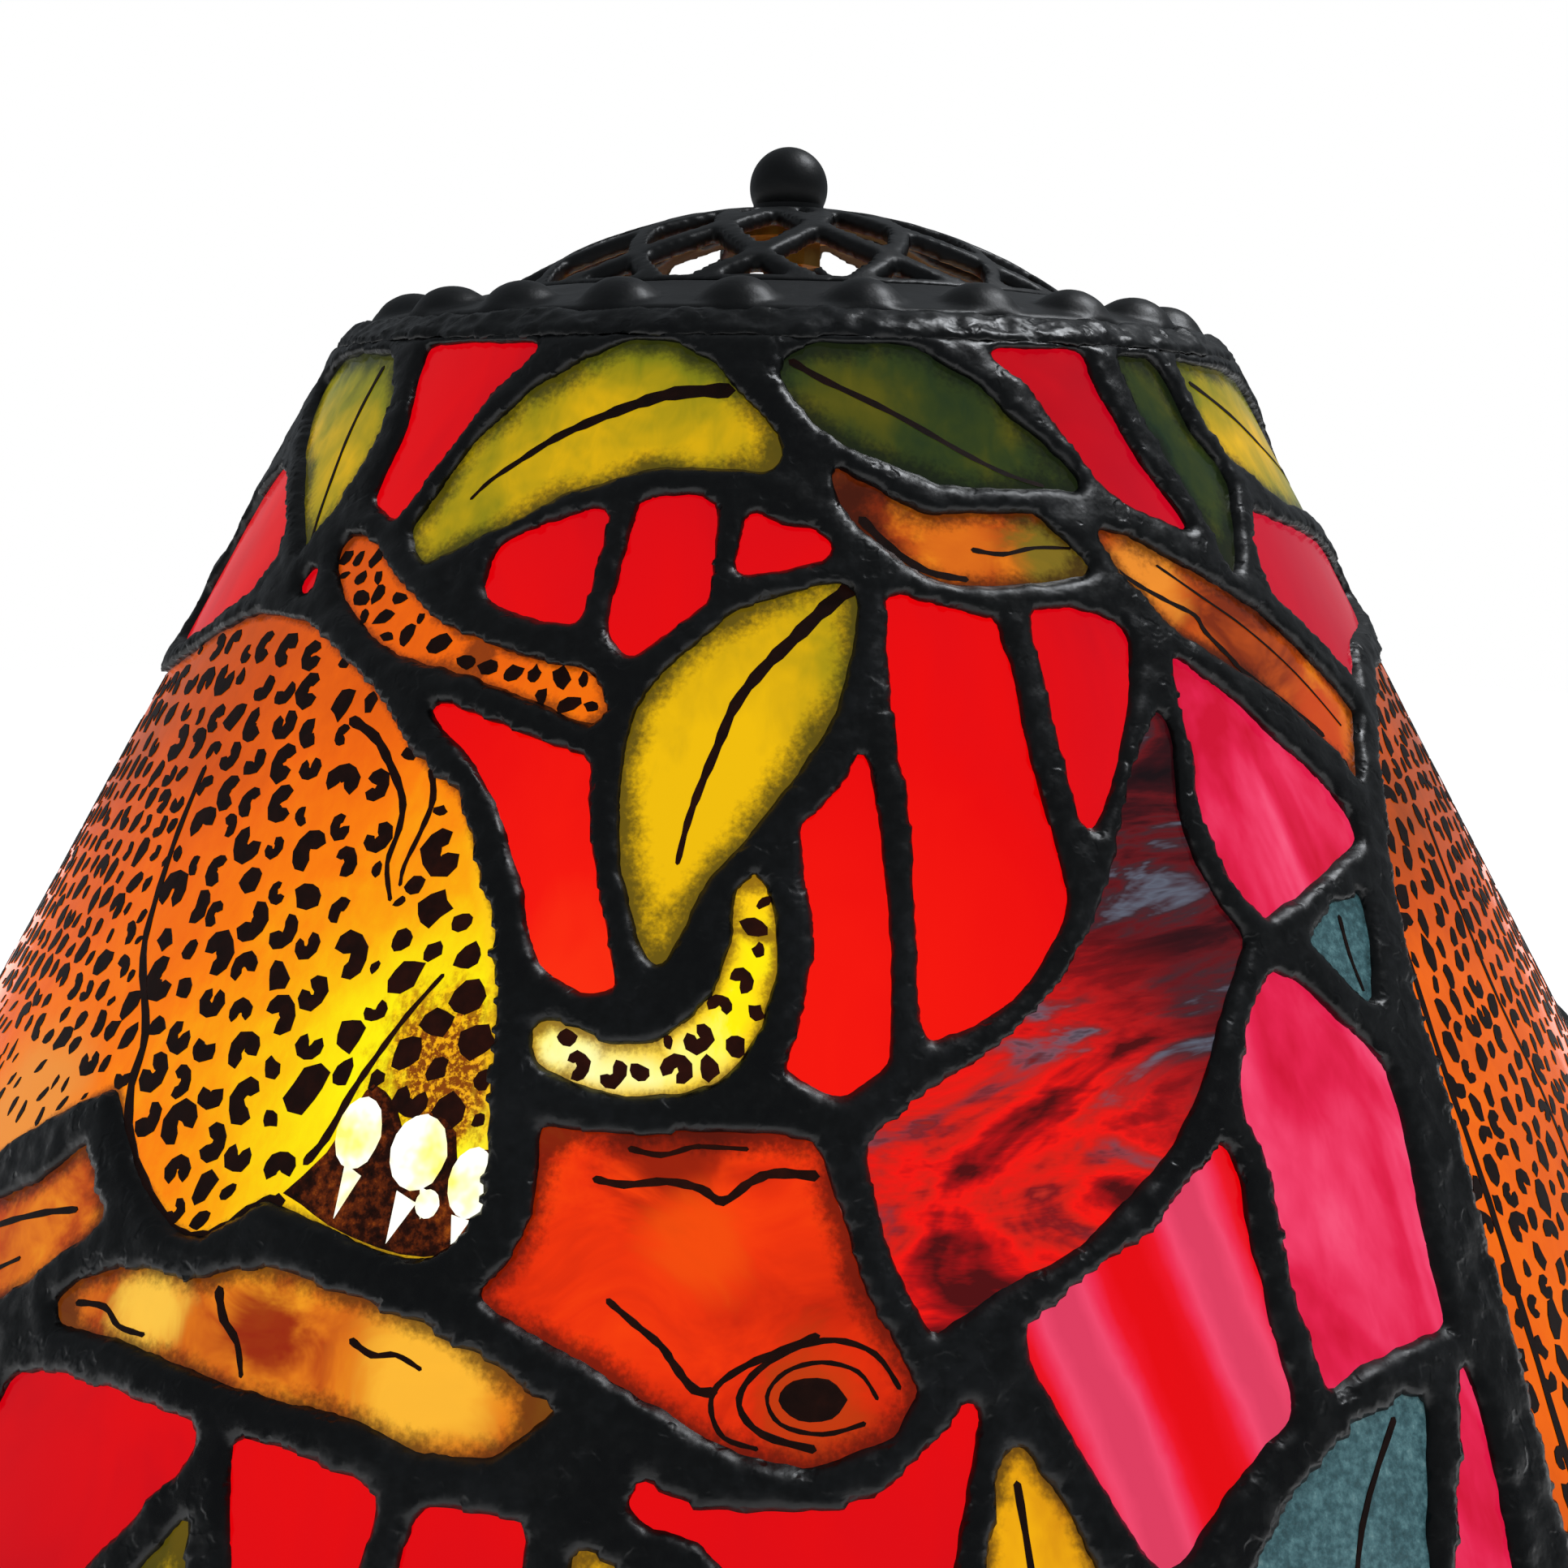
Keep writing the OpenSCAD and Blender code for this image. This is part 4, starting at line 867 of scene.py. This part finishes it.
def inkFinish(name):
    recipe = Recipe(name)
    speck = recipe.noise(500, 3, 0.6)
    warm = glow(recipe) * 0.7 + (speck - 0.5) * 0.5
    colour = recipe.ramp(warm, [(0.1, "#0E0402"), (0.35, "#1C0804"), (0.6, "#341006")])
    recipe.set(Base_Color=recipe.ramp(speck, [(0.3, "#060201"), (0.7, "#100503")]),
               Emission_Color=colour, Emission_Strength=0.6, Roughness=0.45, IOR=1.5,
               Specular_IOR_Level=0.15)
    recipe.relief(speck, 0.2, 0.1 * mm)
    return recipe


def hotFinish(name):
    recipe = Recipe(name)
    speck = recipe.noise(160, 3, 0.6)
    colour = recipe.ramp(speck, [(0.3, "#FFE870"), (0.42, "#FFF8C0"), (0.5, "#FFFFF0")])
    recipe.set(Base_Color=recipe.shade(colour, 0.2), Emission_Color=colour, Emission_Strength=1.1,
               Roughness=0.3, IOR=1.5)
    recipe.relief(speck, 0.2, 0.1 * mm)
    return recipe


def groundFinish(name):
    recipe = Recipe(name)
    speck = recipe.noise(800, 3, 0.7) * 0.6 + recipe.noise(180, 2, 0.5) * 0.4
    colour = recipe.ramp(speck, [(0.36, "#0C0301"), (0.48, "#260B03"), (0.58, "#5A2206"), (0.7, "#9A4A0C")])
    recipe.set(Base_Color=recipe.shade(colour, 0.1), Emission_Color=colour, Emission_Strength=1.0,
               Roughness=0.4, IOR=1.5, Specular_IOR_Level=0.15)
    recipe.relief(speck, 0.2, 0.1 * mm)
    return recipe


ink.finish(inkFinish("paint_dark"))
ground.finish(groundFinish("paint_ground"))
hot.finish(hotFinish("paint_white"))
print("paint")


# Solder and cast metal: the CAD shape with rounded, lumpy skin

def lumpTexture(name, size):
    texture = bpy.data.textures.new(name, "CLOUDS")
    texture.noise_scale = size
    texture.noise_depth = 2
    return texture


def softened(name, sources, size):
    work = bmesh.new()
    for node in sources:
        work.from_mesh(nodes[node].data)
    bmesh.ops.remove_doubles(work, verts=work.verts, dist=2e-6)
    mesh = bpy.data.meshes.new(name)
    work.to_mesh(mesh)
    work.free()
    piece = bpy.data.objects.new(name, mesh)
    bpy.context.scene.collection.objects.link(piece)
    remesh = piece.modifiers.new("remesh", "REMESH")
    remesh.mode = "VOXEL"
    remesh.voxel_size = size["voxel"]
    smooth = piece.modifiers.new("smooth", "SMOOTH")
    smooth.factor = 0.5
    smooth.iterations = size["rounds"]
    swell = piece.modifiers.new("swell", "DISPLACE")
    swell.strength = size["swell"]
    swell.mid_level = 0
    for label, (scale, height) in size["lumps"].items():
        lump = piece.modifiers.new(label, "DISPLACE")
        lump.texture = lumpTexture(name + label, scale)
        lump.strength = height
        lump.mid_level = 0.5
        lump.texture_coords = "LOCAL"
    bpy.context.view_layer.update()
    graph = bpy.context.evaluated_depsgraph_get()
    made = bpy.data.meshes.new_from_object(piece.evaluated_get(graph))
    piece.modifiers.clear()
    piece.data = made
    for polygon in made.polygons:
        polygon.use_smooth = True
    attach(piece, nodes[sources[0]]["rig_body"])
    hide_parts(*sources)
    return piece


def solderMetal(name):
    recipe = Recipe(name)
    patch = recipe.noise(45, 3, 0.6)
    fine = recipe.noise(620, 3, 0.6)
    colour = recipe.ramp(patch * 0.6 + fine * 0.4, [(0.35, "#020203"), (0.5, "#050606"), (0.65, "#0C0E10")])
    rough = recipe.step(patch * 0.5 + fine * 0.5, 0.35, 0.7) * 0.22 + 0.26
    recipe.set(Base_Color=colour, Roughness=rough, Metallic=0.0, IOR=1.5, Specular_IOR_Level=0.35)
    pits = recipe.step(recipe.noise(330, 2, 0.5), 0.32, 0.42)
    recipe.relief(recipe.noise(240, 3, 0.55) + pits * 0.35 + fine * 0.12, 0.5, 0.45 * mm)
    return recipe


def capMetal(name):
    recipe = Recipe(name)
    patch = recipe.noise(60, 3, 0.6)
    colour = recipe.ramp(patch, [(0.35, "#030404"), (0.55, "#070809"), (0.7, "#0E1012")])
    recipe.set(Base_Color=colour, Roughness=recipe.noise(90, 2) * 0.2 + 0.32, Metallic=0.0, IOR=1.5,
               Specular_IOR_Level=0.35)
    recipe.relief(recipe.noise(500, 3, 0.6), 0.25, 0.3 * mm)
    return recipe


solderSize = {
    "voxel": 0.9 * mm, "rounds": 4, "swell": 0.3 * mm,
    "lumps": {"broad": (6 * mm, 0.8 * mm), "fine": (2.4 * mm, 0.5 * mm)},
}
ringSize = {
    "voxel": 0.7 * mm, "rounds": 2, "swell": 0.0,
    "lumps": {"broad": (5 * mm, 1.5 * mm), "fine": (2.0 * mm, 0.6 * mm)},
}
castSize = {
    "voxel": 0.6 * mm, "rounds": 3, "swell": 0.1 * mm,
    "lumps": {"broad": (6 * mm, 0.25 * mm)},
}
solder = solderMetal("solder")
web = softened("solder_lines", ["solder_web_a", "solder_web_b"], solderSize)
coat(web, solder)
for node in ("top_ring", "bottom_rim"):
    band = softened(node + "_hammered", [node], ringSize)
    coat(band, solder)
cast = capMetal("cap_metal")
for node in ("bead_flange", "cap_lattice"):
    piece = softened(node + "_cast", [node], castSize)
    coat(piece, cast)
for node in ("finial_washer", "finial_ball"):
    coat(nodes[node], cast)
print("solder and cap")

# Bulbs, sockets and base

def metal(name, stops, roughness, metallic=1.0):
    recipe = Recipe(name)
    scale = 60
    patch = recipe.noise(scale, 4, 0.6)
    recipe.set(Base_Color=recipe.ramp(patch, stops), Metallic=metallic,
               Roughness=recipe.noise(scale * 3, 3) * 0.2 + roughness)
    recipe.relief(recipe.noise(scale * 9, 3, 0.6), 0.15, 0.2 * mm)
    return recipe


bronze = metal("bronze", [(0.3, "#1E140B"), (0.5, "#3C2817"), (0.62, "#5C4024"), (0.75, "#2C3A2C")],
               0.34, 0.75)
brass = metal("brass", [(0.3, "#8A6224"), (0.5, "#C89A44"), (0.7, "#E0B860")], 0.22)
socketMetal = metal("socket_metal", [(0.3, "#5A401A"), (0.5, "#8A6630"), (0.7, "#A8844A")], 0.3)
steel = metal("steel", [(0.3, "#6A6A6A"), (0.6, "#A0A0A0")], 0.3)
iron = metal("iron", [(0.3, "#2A2A2A"), (0.6, "#4A4A4A")], 0.55)
aluminium = metal("bulb_cap", [(0.3, "#A0A0A0"), (0.6, "#D0D0D0")], 0.25)


def matte(name, stops, roughness, scale=200):
    recipe = Recipe(name)
    recipe.set(Base_Color=recipe.ramp(recipe.noise(scale, 4, 0.6), stops), Roughness=roughness)
    recipe.relief(recipe.noise(scale * 4, 3, 0.6), 0.3, 0.2 * mm)
    return recipe


felt = matte("felt", [(0.3, "#10200F"), (0.7, "#2A442A")], 0.95, 900)
porcelain = matte("porcelain", [(0.3, "#D8D2C4"), (0.7, "#EFEADF")], 0.25, 80)
fibre = matte("liner", [(0.3, "#8A6A44"), (0.7, "#B08C60")], 0.85)
rubberPlastic = matte("bushing", [(0.3, "#0C0C0C"), (0.7, "#1E1E1E")], 0.6)
wireCoat = matte("wire", [(0.3, "#7A6238"), (0.7, "#A0854E")], 0.5)


def bulbGlass():
    recipe = Recipe("bulb_glass")
    frost = recipe.noise(120, 3)
    colour = recipe.ramp(frost, [(0.3, "#FFB850"), (0.7, "#FFD48C")])
    recipe.set(Base_Color=recipe.shade(colour, 0.8), Emission_Color=colour,
               Emission_Strength=3.0, Roughness=0.2)
    recipe.relief(recipe.noise(900, 2), 0.05, 0.1 * mm)
    return recipe


globe = bulbGlass()
plainFinishes = {
    bronze: ["foot_casting", "column_lower", "column_knop", "column_upper", "column_neck", "cluster_body"],
    brass: ["threaded_pipe", "rod_coupling", "upper_rod", "support_nut", "support_washer",
            "socket_arms", "chain_front", "chain_back"],
    socketMetal: ["socket_caps", "socket_shells", "chain_guides"],
    steel: ["bottom_nut", "bottom_washer", "bulb_filament_front", "bulb_filament_back"],
    iron: ["base_weight"],
    aluminium: ["bulb_cap_front", "bulb_cap_back"],
    felt: ["felt_pad"],
    porcelain: ["socket_cores"],
    fibre: ["socket_liners"],
    rubberPlastic: ["cord_bushing"],
    wireCoat: ["inner_wire"],
    globe: ["bulb_globe_front", "bulb_globe_back"],
}
for finish, names in plainFinishes.items():
    for node in names:
        coat(nodes[node], finish)
print("bulbs, sockets and base")

# Stage

def paleWorld():
    world = bpy.data.worlds.new("pale")
    bpy.context.scene.world = world
    world.use_nodes = True
    tree = world.node_tree
    tree.nodes.clear()
    path = tree.nodes.new("ShaderNodeLightPath")
    seen = tree.nodes.new("ShaderNodeBackground")
    seen.inputs["Color"].default_value = (1, 1, 1, 1)
    seen.inputs["Strength"].default_value = 1.0
    soft = tree.nodes.new("ShaderNodeBackground")
    soft.inputs["Color"].default_value = (0.86, 0.93, 1, 1)
    soft.inputs["Strength"].default_value = 0.2
    both = tree.nodes.new("ShaderNodeMixShader")
    out = tree.nodes.new("ShaderNodeOutputWorld")
    tree.links.new(path.outputs["Is Camera Ray"], both.inputs[0])
    tree.links.new(soft.outputs[0], both.inputs[1])
    tree.links.new(seen.outputs[0], both.inputs[2])
    tree.links.new(both.outputs[0], out.inputs[0])


paleWorld()
stage = {"radius": 4.0, "lights": {
    "right": ((1.3, -0.7, 1.2), 8, 0.6, False),
    "left": ((-1.4, -1.0, 1.5), 4, 1.0, False),
    "above": ((0.8, 0.3, 1.9), 12, 0.5, True),
}}


def paleFloor():
    bpy.ops.mesh.primitive_circle_add(vertices=128, radius=stage["radius"], fill_type="NGON")
    floor = bpy.context.object
    floor.name = "floor"
    recipe = Recipe("floor")
    speck = recipe.noise(3, 2)
    recipe.set(Base_Color=recipe.ramp(speck, [(0.3, "#F0F0F0"), (0.7, "#F6F6F6")]), Roughness=0.9,
               Emission_Color=hexColour("#FFFFFF"), Emission_Strength=0.85)
    coat(floor, recipe)


def softLight(name, place, watts, width, mirrored):
    data = bpy.data.lights.new(name, "AREA")
    data.energy = watts
    data.size = width
    data.color = (0.93, 0.96, 1)
    light = bpy.data.objects.new(name, data)
    light.location = place
    light.visible_glossy = mirrored
    aim = Vector((0, 0, 0.45)) - Vector(place)
    light.rotation_euler = aim.to_track_quat("-Z", "Y").to_euler()
    bpy.context.scene.collection.objects.link(light)


paleFloor()
for name, (place, watts, width, mirrored) in stage["lights"].items():
    softLight(name, place, watts, width, mirrored)
print("stage")
